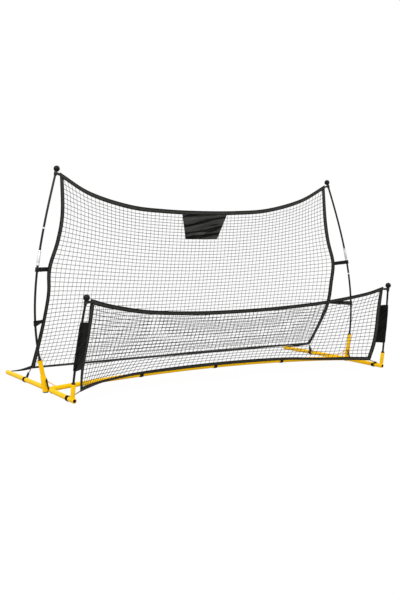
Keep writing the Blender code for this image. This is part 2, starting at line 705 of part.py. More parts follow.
def net_panel(top, side, bottom, gaps):
    """Edges of the four hems and of the net inside them, from the outer outline's right half."""
    across, up = gaps
    top = smooth_line(whole(top), across)
    bottom = smooth_line(whole(bottom), across)
    right = smooth_line(side, up)
    flip = np.array((-1, 1, 1))
    web = relaxed(right * flip, right, bottom, top)
    top_in = top + WEBBING * inward(top, web[:, -2])
    bottom_in = bottom + WEBBING * inward(bottom, web[:, 1])
    along_top = unit(top_in[-2] - top_in[-1])
    along_bottom = unit(bottom_in[-2] - bottom_in[-1])
    right_out = even(right, up, WEBBING + FIT, WEBBING + FIT)
    directions = inward(right, web[-2])
    directions[0] = along_bottom
    directions[-1] = along_top
    right_in = right_out + WEBBING * directions
    net_right = right_in + FIT * directions
    net_left = net_right * flip
    net_top = top_in + FIT * inward(top, web[:, -2])
    net_bottom = bottom_in + FIT * inward(bottom, web[:, 1])
    for line in (net_top, net_bottom):
        corner = -1 if line is net_top else 0
        line[0] = net_left[corner]
        line[-1] = net_right[corner]
    net = relaxed(net_left, net_right, net_bottom, net_top)
    hems = {"top": (top, top_in), "bottom": (bottom, bottom_in),
            "right": (right_out, right_in), "left": (right_out * flip, right_in * flip)}
    seam = right + WEBBING / 3 * inward(right, web[-2])
    return net, hems, seam


def grid_mesh(name, grid):
    """A mesh of quads over a grid of points."""
    across, up = grid.shape[:2]
    faces = []
    for i in range(across - 1):
        for j in range(up - 1):
            first = i * up + j
            faces.append((first, first + up, first + up + 1, first + 1))
    mesh = bpy.data.meshes.new(name)
    mesh.from_pydata([tuple(p) for p in grid.reshape(-1, 3)], [], faces)
    return mesh


def thickened(name, mesh, thickness, kind):
    obj = bpy.data.objects.new(name, mesh)
    wall = obj.modifiers.new("thickness", "SOLIDIFY")
    wall.thickness = thickness
    wall.offset = 0.0
    return place(obj, kind)


def make_net(name, grid):
    """The net as wide-meshed strands: every gap is a hole inset in its square."""
    mesh = grid_mesh(name, grid)
    body = bmesh.new()
    body.from_mesh(mesh)
    squares = list(body.faces)
    bmesh.ops.inset_individual(body, faces=squares, thickness=NET_STRAND / 2, use_even_offset=True)
    bmesh.ops.delete(body, geom=squares, context="FACES")
    body.to_mesh(mesh)
    body.free()
    return thickened(name, mesh, NET_THICK, NET)


def make_hem(name, edges):
    outer, inner = edges
    return thickened(name, grid_mesh(name, np.stack([outer, inner], axis=1)), WEBBING_THICK, WEB)


def wrap(name, levels, bar_radius, thickness, steps=10):
    """Webbing or cloth sewn round a bar, with a tongue to its tip; one outline for each level.

    A level is the bar's centre and the tip of the tongue there.
    """
    centres = [np.array(c, float) for c, tip in levels]
    along = unit(centres[-1] - centres[0])
    inner_r = (bar_radius + FIT) / math.cos(math.pi / steps)
    outer_r = inner_r + thickness
    half = thickness / 2
    throat = math.asin(half / outer_r)
    angles = np.linspace(throat, 2 * math.pi - throat, steps + 1)
    body = bmesh.new()
    rings = []
    for centre, (_, tip) in zip(centres, levels):
        reach = np.array(tip, float) - centre
        out = unit(reach - along * reach.dot(along))
        sideways = np.cross(along, out)
        outer = [centre + outer_r * (math.cos(a) * out + math.sin(a) * sideways) for a in angles]
        inner = [centre + inner_r * (math.cos(a) * out + math.sin(a) * sideways) for a in angles]
        tips = [centre + reach - half * sideways, centre + reach + half * sideways]
        rings.append([[body.verts.new(p) for p in line] for line in (outer + tips, inner)])
    for low, high in zip(rings, rings[1:]):
        for a, b in zip(low, high):
            for i in range(len(a)):
                k = (i + 1) % len(a)
                body.faces.new((a[i], a[k], b[k], b[i]))
    for outer, inner in (rings[0], rings[-1]):
        for i in range(steps):
            body.faces.new((outer[i], outer[i + 1], inner[i + 1], inner[i]))
        body.faces.new((outer[steps], outer[0], inner[0], inner[steps]))
        body.faces.new((outer[steps], outer[steps + 1], outer[steps + 2], outer[0]))
    bmesh.ops.recalc_face_normals(body, faces=body.faces)
    mesh = bpy.data.meshes.new(name)
    body.to_mesh(mesh)
    body.free()
    return bpy.data.objects.new(name, mesh)


def at_height(line, z):
    """The point of an upright line of points at height z."""
    order = np.argsort(line[:, 2])
    line = line[order]
    return np.array([np.interp(z, line[:, 2], line[:, axis]) for axis in (0, 1)] + [z])


def short_of(tip, centre):
    """A tip drawn back from the hem that it is sewn to, towards the centre."""
    return tip + SEWN_GAP * unit(np.array(centre) - tip)


def make_pole_strap(name, side, outer_edge, z, width):
    """Strap round the tall pole, sewn to the tall net's side hem."""
    levels = []
    for level in (z - width / 2, z, z + width / 2):
        centre = tall_point(level)
        tip = short_of(at_height(outer_edge, level), centre)
        levels.append((mirrored(centre, side), mirrored(tip, side)))
    strap = wrap(name, levels, POLE_R, STRAP_THICK)
    return place(strap, WEB)


def cap_loop(name, side, pole, tip_z, seam):
    """Loop round the cap's neck that is sewn into the net's top corner."""
    levels = []
    for level in (-CAP_LOOP_WIDTH / 2, CAP_LOOP_WIDTH / 2):
        centre = pole(tip_z - CAP_LOOP_BELOW + level)
        tip = at_height(seam, seam[-1][2] - WEBBING / 2 + level)
        levels.append((mirrored(centre, side), mirrored(tip, side)))
    return wrap(name, levels, CAP_NECK / 2, STRAP_THICK)


def make_panel(side, outer_edge):
    """Cloth sleeve round the low pole, sewn to the low net's side hem."""
    levels = []
    for level in np.linspace(PANEL_BOTTOM, PANEL_TOP, 6):
        centre = low_point(level)
        tip = short_of(at_height(outer_edge, level), centre)
        levels.append((mirrored(centre, side), mirrored(tip, side)))
    panel = wrap("sleeve_panel_" + side_name(side), levels, POLE_R, CLOTH_THICK)
    return place(panel, CLOTH)


def make_hem_strap(name, x):
    """Band round the cross tube that the low net's bottom hem is sewn to."""
    inner_r = (TUBE_R + FIT) / math.cos(math.pi / ROUND)
    line = [cross_point(x + step * HEM_STRAP_WIDTH) for step in (-0.5, 0.0, 0.5)]
    band = tube_curve(name, [(point, inner_r + STRAP_THICK) for point in line], ROUND, False)
    wall = band.modifiers.new("wall", "SOLIDIFY")
    wall.thickness = STRAP_THICK
    wall.offset = -1.0
    return place(band, WEB)


def make_corner_strap(side, corner):
    """Buckled strap from the tall net's foot corner down round the rear rail."""
    levels = []
    for step in (-0.5, 0.5):
        along = step * CORNER_STRAP_WIDTH
        tip = np.array(corner) + CORNER_STRAP_TIP + (0.0, along * TIP_TAPER, 0.0)
        levels.append((mirrored(rail_point(CORNER_STRAP_Y + along), side), mirrored(tip, side)))
    strap = wrap("corner_strap_" + side_name(side), levels, TUBE_R, STRAP_THICK)
    return place(strap, WEB)


def make_corner_tie(side, corner):
    """Flat tie from the tall net's foot corner back to the end of the rear rail."""
    levels = []
    for step in (-0.5, 0.5):
        tip = np.array(corner) + TIE_TIP + (0.0, 0.0, step * TIE_TIP_WIDTH)
        levels.append((mirrored(rail_point(TIE_Y + step * TIE_WIDTH), side), mirrored(tip, side)))
    tie = wrap("corner_tie_" + side_name(side), levels, TUBE_R, STRAP_THICK)
    return place(tie, WEB)


def make_low_strap(side, corner):
    """Strap from the low net's foot corner round the front rail."""
    levels = []
    for step in (-0.5, 0.5):
        along = step * LOW_STRAP_WIDTH
        tip = np.array(corner) + LOW_STRAP_TIP + (0.0, along * TIP_TAPER, 0.0)
        levels.append((mirrored(rail_point(along - LOW_STRAP_Y), side), mirrored(tip, side)))
    strap = wrap("low_corner_strap_" + side_name(side), levels, TUBE_R, STRAP_THICK)
    return place(strap, WEB)


def make_patch(grid):
    """Cloth target sewn to the front of the tall net under its top hem."""
    mesh = grid_mesh("net_surface", grid)
    tree = BVHTree.FromPolygons([v.co for v in mesh.vertices], [tuple(p.vertices) for p in mesh.polygons])
    points = np.zeros((PATCH_COLUMNS + 1, PATCH_ROWS + 1, 3))
    lift = NET_THICK / 2 + FIT + CLOTH_THICK / 2
    backward = Vector((0.0, 1.0, 0.0))
    for i in range(PATCH_COLUMNS + 1):
        for j in range(PATCH_ROWS + 1):
            up = j / PATCH_ROWS
            left, right, z = (1 - up) * np.array(PATCH_FOOT) + up * np.array(PATCH_TOP)
            x = left + (right - left) * i / PATCH_COLUMNS
            hit, normal, _, _ = tree.ray_cast(Vector((x, -HALF, z)), backward)
            outward = -normal if normal.y > 0 else normal
            points[i, j] = hit + outward * lift
    bpy.data.meshes.remove(mesh)
    return thickened("target_patch", grid_mesh("target_patch", points), CLOTH_THICK, CLOTH)


make_cross_tubes()
for side in (-1, 1):
    word = side_name(side)
    make_side_frame(side)
    make_foot(side)
    make_front_rail(side)
    make_socket(side)
    rear = mirrored(rail_point(REAR_REACH), side)
    front = mirrored(rail_point(-FRONT_REACH), side)
    hub = mirrored(rail_point(0.0), side)
    make_plug("rear_plug_" + word, rear, np.array(hub) - rear)
    make_plug("front_plug_" + word, front, np.array(hub) - front)
    make_button("socket_button_" + word, socket_button(side))
    make_button("rail_button_" + word, rail_button(side))
    make_button("cross_button_" + word, cross_button(side))
    make_tall_pole(side)
    make_low_pole(side)
    make_cap("tall_cap_" + word, side, tall_point, TALL_TIP_Z)
    make_cap("low_cap_" + word, side, low_point, LOW_TIP_Z)

tall_net, tall_hems, tall_seam = net_panel(TALL_TOP, TALL_SIDE, TALL_BOTTOM, TALL_GAPS)
held = [cross_point(x) for x in np.linspace(0.0, LOW_BOTTOM_HELD, 4)]
low_bottom = [(x, -HEM_STANDOFF, z + HEM_RISE) for x, _, z in held] + LOW_BOTTOM_REST
low_net, low_hems, low_seam = net_panel(LOW_TOP, LOW_SIDE, low_bottom, LOW_GAPS)

make_net("tall_net", tall_net)
make_net("low_net", low_net)
make_patch(tall_net)
nets = (("tall", tall_hems, tall_seam, tall_point, TALL_TIP_Z),
        ("low", low_hems, low_seam, low_point, LOW_TIP_Z))
for net_name, hems, seam, pole, tip in nets:
    for edge in ("bottom", "left", "right"):
        make_hem(net_name + "_hem_" + edge, hems[edge])
    top_hem = make_hem(net_name + "_hem_top", hems["top"])
    for side in (-1, 1):
        loop = cap_loop(net_name + "_cap_loop_" + side_name(side), side, pole, tip, seam)
        combine(top_hem, loop, "UNION")

for side in (-1, 1):
    word = side_name(side)
    for strap_name, (height, width) in zip(("upper_pole_strap_", "lower_pole_strap_"), POLE_STRAPS):
        make_pole_strap(strap_name + word, side, tall_hems["right"][0], height, width)
    make_panel(side, low_hems["right"][0])
    make_corner_strap(side, TALL_SIDE[0])
    make_corner_tie(side, TALL_SIDE[0])
    make_low_strap(side, LOW_SIDE[0])
for strap_name, x in zip(("left", "middle", "right"), HEM_STRAP_X):
    make_hem_strap("hem_strap_" + strap_name, x)

for part in parts.objects:
    if part.type == "MESH":
        smooth_sharp(part)
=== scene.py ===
# %% [markdown]
# # A two-sided rebound net
# The real thing is a football rebounder: a yellow steel floor frame, four bowed black poles, a tall net
# and a low net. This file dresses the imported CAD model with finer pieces, one step in each cell.
# Everything is in metres. The shapes are written about the hub line, where the cross tube meets both
# rails, because every tube, pole and strap starts from there, and one shift puts them over the CAD.

# %% Load the frame
import math

import bmesh
import bpy
import numpy as np
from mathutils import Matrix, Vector
from mathutils.bvhtree import BVHTree


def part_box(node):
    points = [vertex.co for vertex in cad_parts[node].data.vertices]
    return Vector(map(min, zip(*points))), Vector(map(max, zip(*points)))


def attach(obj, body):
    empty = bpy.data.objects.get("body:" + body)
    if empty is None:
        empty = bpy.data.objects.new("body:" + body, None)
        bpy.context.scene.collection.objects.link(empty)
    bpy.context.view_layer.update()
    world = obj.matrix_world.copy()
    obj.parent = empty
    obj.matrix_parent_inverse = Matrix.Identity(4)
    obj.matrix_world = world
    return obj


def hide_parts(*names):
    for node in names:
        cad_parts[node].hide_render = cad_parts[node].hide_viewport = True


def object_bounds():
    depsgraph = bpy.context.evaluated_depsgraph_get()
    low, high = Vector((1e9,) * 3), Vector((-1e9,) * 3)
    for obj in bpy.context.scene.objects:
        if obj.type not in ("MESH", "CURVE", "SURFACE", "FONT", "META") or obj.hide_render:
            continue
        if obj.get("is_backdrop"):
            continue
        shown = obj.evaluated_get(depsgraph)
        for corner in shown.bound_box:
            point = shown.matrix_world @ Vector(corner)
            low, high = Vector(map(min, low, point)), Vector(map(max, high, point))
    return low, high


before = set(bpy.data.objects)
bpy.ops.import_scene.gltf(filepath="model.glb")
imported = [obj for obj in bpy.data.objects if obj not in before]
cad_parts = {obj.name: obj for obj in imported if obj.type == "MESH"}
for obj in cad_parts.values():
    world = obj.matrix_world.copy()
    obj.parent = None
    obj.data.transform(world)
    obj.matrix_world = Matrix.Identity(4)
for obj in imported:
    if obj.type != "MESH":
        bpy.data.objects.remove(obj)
CAD_BOX = [list(corner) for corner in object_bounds()]
scene = bpy.context.scene
print(len(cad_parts), "nodes, CAD box", CAD_BOX)

# %% Where the hub line lies
SLEEVE_BACK = 0.010
foot_low, foot_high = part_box("hub_foot_right")
SHIFT = np.array((0.0, (foot_low.y + foot_high.y) / 2 - SLEEVE_BACK, 0.0))
FIT = 0.0003
print("hub line at y =", round(SHIFT[1], 5))

# %% [markdown]
# ## The camera
# The photograph was taken from in front and well to the left, a little above the nets. Its camera was
# found by matching the rails, the pole tips and the hems, so it is set as numbers: a place, a heading,
# a small downward pitch and a lens. No shift and no depth of field, so that other views stay right.

# %% Camera
camera = bpy.data.objects.new("camera", bpy.data.cameras.new("camera"))
scene.collection.objects.link(camera)
camera.location = (-2.60508, -4.07153, 0.82395)
# Pitch from straight down, roll and heading, in degrees
camera.rotation_euler = [math.radians(angle) for angle in (90 - 4.517, -0.194, -32.275)]
camera.data.sensor_width = 36.0
camera.data.lens = 47.884
camera.data.clip_end = 200.0
scene.camera = camera
print("camera at", tuple(camera.location))

# %% [markdown]
# ## Colours and nodes
# Screen colours are sRGB, and shaders work in linear light, so one function turns a hex value into
# what a shader wants. One more adds any node with its settings and links, because a material is then
# a short list of steps, and none of its nodes needs a helper of its own. Sockets that share a name
# are numbered: a Map Range reads from 1 to 2 and gives 3 to 4, and a Mix blends colour 6 into 7 by
# the share 0.

# %% Colours, nodes and new finishes
def linear(code):
    """A hex colour in sRGB as the linear colour and alpha of a shader."""
    channels = [int(code[i:i + 2], 16) / 255 for i in (1, 3, 5)]
    return tuple(c / 12.92 if c <= 0.04045 else ((c + 0.055) / 1.055) ** 2.4 for c in channels) + (1.0,)


def wire(tree, node, inputs):
    """Set or link a node's inputs, which are named or numbered."""
    for key, value in inputs.items():
        if isinstance(value, bpy.types.Node):
            value = value.outputs[0]
        if isinstance(value, bpy.types.NodeSocket):
            tree.links.new(value, node.inputs[key])
        else:
            node.inputs[key].default_value = value


def add(tree, kind, inputs=None, **settings):
    """Add a node of any kind with its settings, values and links."""
    node = tree.nodes.new(kind)
    for name, value in settings.items():
        setattr(node, name, value)
    wire(tree, node, inputs or {})
    return node


def new_finish(name, **values):
    """A material with one Principled shader; its sockets are named with _ for a space."""
    material = bpy.data.materials.new(name)
    material.use_nodes = True
    tree = material.node_tree
    shader = tree.nodes["Principled BSDF"]
    wire(tree, shader, {key.replace("_", " "): value for key, value in values.items()})
    return material, tree, shader


def clouded(name, scale, detail, tones, **values):
    """A finish that drifts between two tones, and its tree, shader, place, noise and colour."""
    material, tree, shader = new_finish(name, **values)
    spot = add(tree, "ShaderNodeTexCoord").outputs["Object"]
    drift = add(tree, "ShaderNodeTexNoise", {"Vector": spot, "Scale": scale, "Detail": detail})
    first, second = [linear(tone) for tone in tones]
    colour = add(tree, "ShaderNodeMix", {0: drift, 6: first, 7: second}, data_type="RGBA").outputs[2]
    wire(tree, shader, {"Base Color": colour})
    return material, tree, shader, spot, drift, colour


# %% [markdown]
# ## Powder-coated steel
# The floor frame is steel tube with a yellow powder coat: dry powder that is baked to a thick skin.
# The skin pulls into a fine orange peel about 2 mm across, and it is glossy with a soft edge to its
# highlights. Corners and weld beads rub paler in use. A noise bump gives the peel, a wide noise
# varies the yellow a little, and pointiness finds the edges that rub.

# %% Yellow powder coat
POWDER, tree, shader, spot, clouds, coat = clouded(
    "powder_coated_steel", 14.0, 3.0, ("#FFC900", "#F8BC00"), IOR=1.5, Specular_IOR_Level=0.08)
edges = add(tree, "ShaderNodeNewGeometry").outputs["Pointiness"]
rubbed = add(tree, "ShaderNodeMapRange", {"Value": edges, 1: 0.53, 2: 0.62, 4: 0.45})
worn = add(tree, "ShaderNodeMix", {0: rubbed, 6: coat, 7: linear("#FFD22A")}, data_type="RGBA")
peel = add(tree, "ShaderNodeTexNoise", {"Vector": spot, "Scale": 480.0, "Detail": 1.0})
ripple = add(tree, "ShaderNodeBump", {"Height": peel, "Strength": 0.25, "Distance": 0.0004})
gloss = add(tree, "ShaderNodeMapRange", {"Value": clouds, 1: 0.3, 2: 0.7, 3: 0.32, 4: 0.46})
wire(tree, shader, {"Base Color": worn.outputs[2], "Normal": ripple, "Roughness": gloss})
print("finish", POWDER.name)

# %% [markdown]
# ## Black fibreglass
# The poles are pultruded fibreglass: glass threads drawn through resin, so fine streaks run along
# the rod under a hard glossy skin, and warm brown shows where the resin is thin. The pattern follows
# the rod's own UV map, whose first axis is the length in metres.

# %% Drawn stock, and the poles' finish
def drawn(name, stretch, detail, tones, dullness, depth, **values):
    """Drawn rod or tube: streaks along its UV map change its tone, its gloss and its skin."""
    material, tree, shader = new_finish(name, **values)
    along = add(tree, "ShaderNodeUVMap", uv_map="UVMap")
    stretched = add(tree, "ShaderNodeMapping", {"Vector": along, "Scale": (*stretch, 1.0)})
    streaks = add(tree, "ShaderNodeTexNoise", {"Vector": stretched, "Scale": 1.0, "Detail": detail})
    first, second = [linear(tone) for tone in tones]
    tone = add(tree, "ShaderNodeMix", {0: streaks, 6: first, 7: second}, data_type="RGBA")
    rough = add(tree, "ShaderNodeMapRange", {"Value": streaks, 3: dullness[0], 4: dullness[1]})
    groove = add(tree, "ShaderNodeBump", {"Height": streaks, "Strength": 0.2, "Distance": depth})
    wire(tree, shader, {"Base Color": tone.outputs[2], "Roughness": rough, "Normal": groove})
    return material


FIBREGLASS = drawn("black_fibreglass", (6.0, 900.0), 4.0, ("#060607", "#2A2522"), (0.2, 0.36), 0.0001,
                   IOR=1.52, Specular_IOR_Level=0.2)

# %% [markdown]
# ## Aluminium, steel and moulded plastic
# The ferrules are drawn aluminium tube with lengthwise scratches. The snap buttons are zinc-plated
# steel gone dull. Caps, plugs and bushes are moulded polypropylene with a fine spark-eroded grain,
# and the feet are a softer brown-grey plastic that scuffs on the floor.

# %% Metals
ALUMINIUM = drawn("drawn_aluminium", (25.0, 1800.0), 3.0, ("#F4F2F1", "#D8D6D5"), (0.42, 0.6), 0.00008,
                  Metallic=1.0)

ZINC, tree, shader = new_finish("dull_zinc_steel", Metallic=1.0, Roughness=0.38)
spot = add(tree, "ShaderNodeTexCoord").outputs["Object"]
spangle = add(tree, "ShaderNodeTexVoronoi", {"Vector": spot, "Scale": 700.0})
tone = add(tree, "ShaderNodeMix", {0: spangle, 6: linear("#4A4540"), 7: linear("#262320")}, data_type="RGBA")
wire(tree, shader, {"Base Color": tone.outputs[2]})


# %% Plastics
def moulded(name, light, dark, grain, roughness):
    """A moulded plastic with a pebbled grain, whose pebbles are the given size in metres."""
    material, tree, shader, spot, flow, _ = clouded(
        name, 40.0, 3.0, (light, dark), IOR=1.49, Specular_IOR_Level=0.2)
    pebble = add(tree, "ShaderNodeTexVoronoi", {"Vector": spot, "Scale": 1 / grain})
    skin_bump = add(tree, "ShaderNodeBump", {"Height": pebble, "Strength": 0.3, "Distance": grain / 6})
    rough = add(tree, "ShaderNodeMapRange", {"Value": flow, 3: roughness - 0.07, 4: roughness + 0.07})
    wire(tree, shader, {"Roughness": rough, "Normal": skin_bump})
    return material


POLYPROPYLENE = moulded("black_polypropylene", "#141415", "#0A0A0A", 0.0008, 0.42)
SOFT_GREY = moulded("scuffed_grey_plastic", "#57504A", "#3A3530", 0.0015, 0.62)
# White for the rings round the poles, which stand at a different height on each side
WHITE_RING_FINISH = moulded("white_ring_plastic", "#EDEDEB", "#D8D8D5", 0.0015, 0.5)

# %% [markdown]
# ## Cloth, webbing and twine
# The hems and straps are woven polypropylene webbing, the patch and sleeves are nylon oxford, and
# the nets are knotted polyethylene twine. The weaves follow a UV map in metres, first along the
# piece and then across it. Real threads are about 0.5 mm apart, which no render of this size shows,
# so the weave is drawn at 1.6 mm. Twine and thread are thin enough for a pattern in object space.

# %% Woven things
THREAD = 0.0016
SOFT_EDGE = 0.0012
HEM_RIB_PITCH = 0.011


def weave(tree):
    """Height of a plain weave over the UV map, and the map's parts along and across."""
    cloth = add(tree, "ShaderNodeUVMap", uv_map="UVMap")
    parts = add(tree, "ShaderNodeSeparateXYZ", {0: cloth})
    waves = []
    turn = math.tau / THREAD
    for axis in (0, 1):
        turns = add(tree, "ShaderNodeMath", {0: parts.outputs[axis], 1: turn}, operation="MULTIPLY")
        waves.append(add(tree, "ShaderNodeMath", {0: turns}, operation="SINE"))
    return add(tree, "ShaderNodeMath", {0: waves[0], 1: waves[1]}, operation="MULTIPLY"), parts


def webbing(name, edge, middle, pitch, core):
    """Webbing with dark borders and a paler middle, crossed by slanting ribs of that pitch."""
    material, tree, shader = new_finish(name, Roughness=0.8, IOR=1.49, Specular_IOR_Level=0.08)
    height, parts = weave(tree)
    across = add(tree, "ShaderNodeMath", {0: parts.outputs[1]}, operation="ABSOLUTE")
    band = add(tree, "ShaderNodeMapRange", {"Value": across, 1: core + SOFT_EDGE, 2: core - SOFT_EDGE})
    slant = add(tree, "ShaderNodeMath", {0: parts.outputs[0], 1: parts.outputs[1]}, operation="ADD")
    turns = add(tree, "ShaderNodeMath", {0: slant, 1: math.tau / pitch}, operation="MULTIPLY")
    wave = add(tree, "ShaderNodeMath", {0: turns}, operation="SINE")
    rib = add(tree, "ShaderNodeMapRange", {"Value": wave, 1: -0.4, 2: 0.8, 3: 0.3})
    pale = add(tree, "ShaderNodeMath", {0: band, 1: rib}, operation="MULTIPLY")
    tone = add(tree, "ShaderNodeMix", {0: pale, 6: linear(edge), 7: linear(middle)}, data_type="RGBA")
    spot = add(tree, "ShaderNodeTexCoord").outputs["Object"]
    dust = add(tree, "ShaderNodeTexNoise", {"Vector": spot, "Scale": 60.0, "Detail": 4.0})
    value = add(tree, "ShaderNodeMapRange", {"Value": dust, 1: 0.3, 2: 0.7, 3: 0.8, 4: 1.25})
    aged = add(tree, "ShaderNodeHueSaturation", {"Color": tone.outputs[2], "Value": value})
    bump = add(tree, "ShaderNodeBump", {"Height": height, "Strength": 0.45, "Distance": 0.0004})
    wire(tree, shader, {"Base Color": aged, "Normal": bump})
    return material


HEM_WEB = webbing("folded_webbing", "#131311", "#4A4A46", HEM_RIB_PITCH, 0.0062)
STRAP_WEB = webbing("strap_webbing", "#141413", "#262623", 0.0045, 0.0055)


# %% Oxford cloth, twine and thread
def oxford(name, light, dark, slant, spread):
    """Nylon oxford, coated and creased in long streaks at a slant, spaced by the spread, with painted shade
    in the creases.
    """
    material, tree, shader = new_finish(name, IOR=1.53, Specular_IOR_Level=0.1)
    height = weave(tree)[0]
    cloth = add(tree, "ShaderNodeUVMap", uv_map="UVMap")
    aslant = add(tree, "ShaderNodeMapping", {"Vector": cloth, "Rotation": (0.0, 0.0, -slant)})
    stretch = (0.14 / spread, 1 / spread, 1.0)
    stretched = add(tree, "ShaderNodeMapping", {"Vector": aslant, "Scale": stretch})
    folds = add(tree, "ShaderNodeTexNoise", {"Vector": stretched, "Scale": 1.0, "Detail": 1.5})
    # Painted shade: where the crease noise runs low the cloth takes the near-black tone, elsewhere the
    # lighter one
    unshaded_share = add(tree, "ShaderNodeMapRange", {"Value": folds, 1: 0.44, 2: 0.51})
    tone = add(tree, "ShaderNodeMix", {0: unshaded_share, 6: linear(dark), 7: linear(light)}, data_type="RGBA")
    crease = add(tree, "ShaderNodeBump", {"Height": folds, "Strength": 1.0, "Distance": spread / 3})
    bump = add(tree, "ShaderNodeBump",
               {"Height": height, "Strength": 0.35, "Distance": 0.0003, "Normal": crease})
    shine = add(tree, "ShaderNodeMapRange", {"Value": folds, 1: 0.3, 2: 0.7, 3: 0.55, 4: 0.34})
    wire(tree, shader, {"Base Color": tone.outputs[2], "Normal": bump, "Roughness": shine})
    return material


# The second tone of each cloth is the painted shade in its creases
PATCH_CLOTH = oxford("patch_nylon_painted_crease_shade", "#3C3C3A", "#010101", 0.27, 0.030)
SLEEVE_CLOTH = oxford("sleeve_nylon_painted_crease_shade", "#131312", "#020202", 0.9, 0.016)

TWINE, tree, shader, spot, _, _ = clouded("polyethylene_twine", 160.0, 2.0, ("#2A2A2B", "#4D4D50"),
                                          Roughness=0.6, IOR=1.5, Specular_IOR_Level=0.25)
twist = add(tree, "ShaderNodeTexWave", {"Vector": spot, "Scale": 180.0}, bands_direction="DIAGONAL")
bump = add(tree, "ShaderNodeBump", {"Height": twist, "Strength": 0.4, "Distance": 0.0003})
wire(tree, shader, {"Normal": bump})

THREADS = clouded("polyester_thread", 500.0, 2.0, ("#262625", "#4A4A47"),
                  Roughness=0.5, IOR=1.53, Specular_IOR_Level=0.2)[0]
print("materials", len(bpy.data.materials))

# %% [markdown]
# ## Building meshes
# Nearly everything here is a section that runs along a path: a ring along a tube, a lens along a
# strap. So one function skins a row of sections and gives it a UV map in metres, and the others only
# make the sections. A part is its points, its faces and one UV pair for each face corner.

# %% Skin a row of sections
def unit(vector):
    vector = np.asarray(vector, float)
    return vector / np.linalg.norm(vector, axis=-1, keepdims=True)


def run_of(line):
    """Distance along a line at each of its points."""
    steps = np.linalg.norm(np.diff(line, axis=0), axis=1)
    return np.concatenate([[0.0], np.cumsum(steps)])


def skin(sections, around=None, ring=False):
    """Faces over a row of closed sections; ring joins the last to the first, else both are capped."""
    sections = np.asarray(sections, float)
    count, sides = sections.shape[:2]
    closed = np.concatenate([sections, sections[:1]]) if ring else sections
    along = run_of(closed[:, 0])
    if around is None:
        widest = max(np.linalg.norm(np.diff(s, axis=0), axis=1).sum() for s in sections)
        around = np.linspace(0.0, widest, sides + 1)
    faces = []
    corners = []
    for s in range(len(closed) - 1):
        low = s * sides
        high = (s + 1) % count * sides
        for i in range(sides):
            k = (i + 1) % sides
            faces.append((low + i, low + k, high + k, high + i))
            corners += [(along[s], around[i]), (along[s], around[i + 1])]
            corners += [(along[s + 1], around[i + 1]), (along[s + 1], around[i])]
    if not ring:
        for first, place in ((0, 0), ((count - 1) * sides, -1)):
            faces.append(tuple(range(first, first + sides)))
            corners += [(along[place], around[i]) for i in range(sides)]
    return sections.reshape(-1, 3), faces, np.array(corners)


# %% Tubes, pipes and turned shapes
ROUND = 32


def rings(path, radii, sides):
    """Rings round the points of a path, carried along it without a twist."""
    path = np.asarray(path, float)
    radii = np.broadcast_to(radii, len(path))
    tangents = unit(np.gradient(path, axis=0))
    start = (0.0, 0.0, 1.0) if abs(tangents[0][2]) < 0.9 else (1.0, 0.0, 0.0)
    side = np.cross(tangents[0], start)
    turn = np.linspace(0.0, math.tau, sides, endpoint=False)[:, None]
    made = []
    for point, tangent, radius in zip(path, tangents, radii):
        side = unit(side - tangent * side.dot(tangent))
        up = np.cross(tangent, side)
        made.append(point + radius * (np.cos(turn) * side + np.sin(turn) * up))
    return np.array(made)


def tube(path, radii, sides=ROUND):
    return skin(rings(path, radii, sides))


def pipe(path, outer, inner):
    """A tube with a bore and flat ends."""
    shell = rings(path, outer, ROUND)
    bore = rings(path, inner, ROUND)
    return skin(np.concatenate([shell, bore[::-1]]), ring=True)


def turned(profile, centre, direction, sides=ROUND):
    """A solid of revolution; the profile's rows are radius and height along the direction."""
    direction = unit(direction)
    path = np.array([np.array(centre) + direction * height for _, height in profile])
    start = (0.0, 0.0, 1.0) if abs(direction[2]) < 0.9 else (1.0, 0.0, 0.0)
    side = unit(np.cross(direction, start))
    up = np.cross(direction, side)
    turn = np.linspace(0.0, math.tau, sides, endpoint=False)[:, None]
    ring = np.cos(turn) * side + np.sin(turn) * up
    return skin([point + max(radius, 0.0002) * ring for point, (radius, _) in zip(path, profile)])


# %% Bands of cloth and webbing
FLAT_PLACES = 9


def lens(width, thickness):
    """Places across a band from -1 to 1, and the share of its thickness at each."""
    rim = min(0.45, thickness / width)
    turn = np.radians((0.0, 30.0, 60.0))
    edge = 1 - rim + rim * np.cos(turn)
    flat = np.linspace(-(1 - rim), 1 - rim, FLAT_PLACES)
    share = np.sin(turn)
    places = np.concatenate([-edge, flat, edge[::-1]])
    return places, np.concatenate([share, np.ones(FLAT_PLACES), share[::-1]])


def slab(grid, half, lift=None):
    """A soft band over a grid of points, stations along by places across, with rounded edges."""
    grid = np.asarray(grid, float)
    forward = np.gradient(grid, axis=0)
    across = np.gradient(grid, axis=1)
    normals = unit(np.cross(forward, across))
    half = np.broadcast_to(half, grid.shape[:2])[..., None]
    if lift is not None:
        grid = grid + normals * np.asarray(lift)[..., None]
    front = grid + normals * half
    back = grid - normals * half
    sections = np.concatenate([front, back[:, -2:0:-1]], axis=1)
    middle = grid.shape[0] // 2
    place = run_of(grid[middle])
    place = place - place[-1] / 2
    return skin(sections, np.concatenate([place, place[-2::-1]]))


def band(outer, inner, thickness, lift=None):
    """Webbing between two edge lines of the same count."""
    outer = np.asarray(outer, float)
    inner = np.asarray(inner, float)
    places, share = lens(np.linalg.norm(inner[0] - outer[0]), thickness)
    middle = (outer + inner) / 2
    reach = (inner - outer) / 2
    grid = middle[:, None] + reach[:, None] * places[None, :, None]
    raised = lift(run_of(middle), places) if lift else None
    return slab(grid, share * thickness / 2, raised)


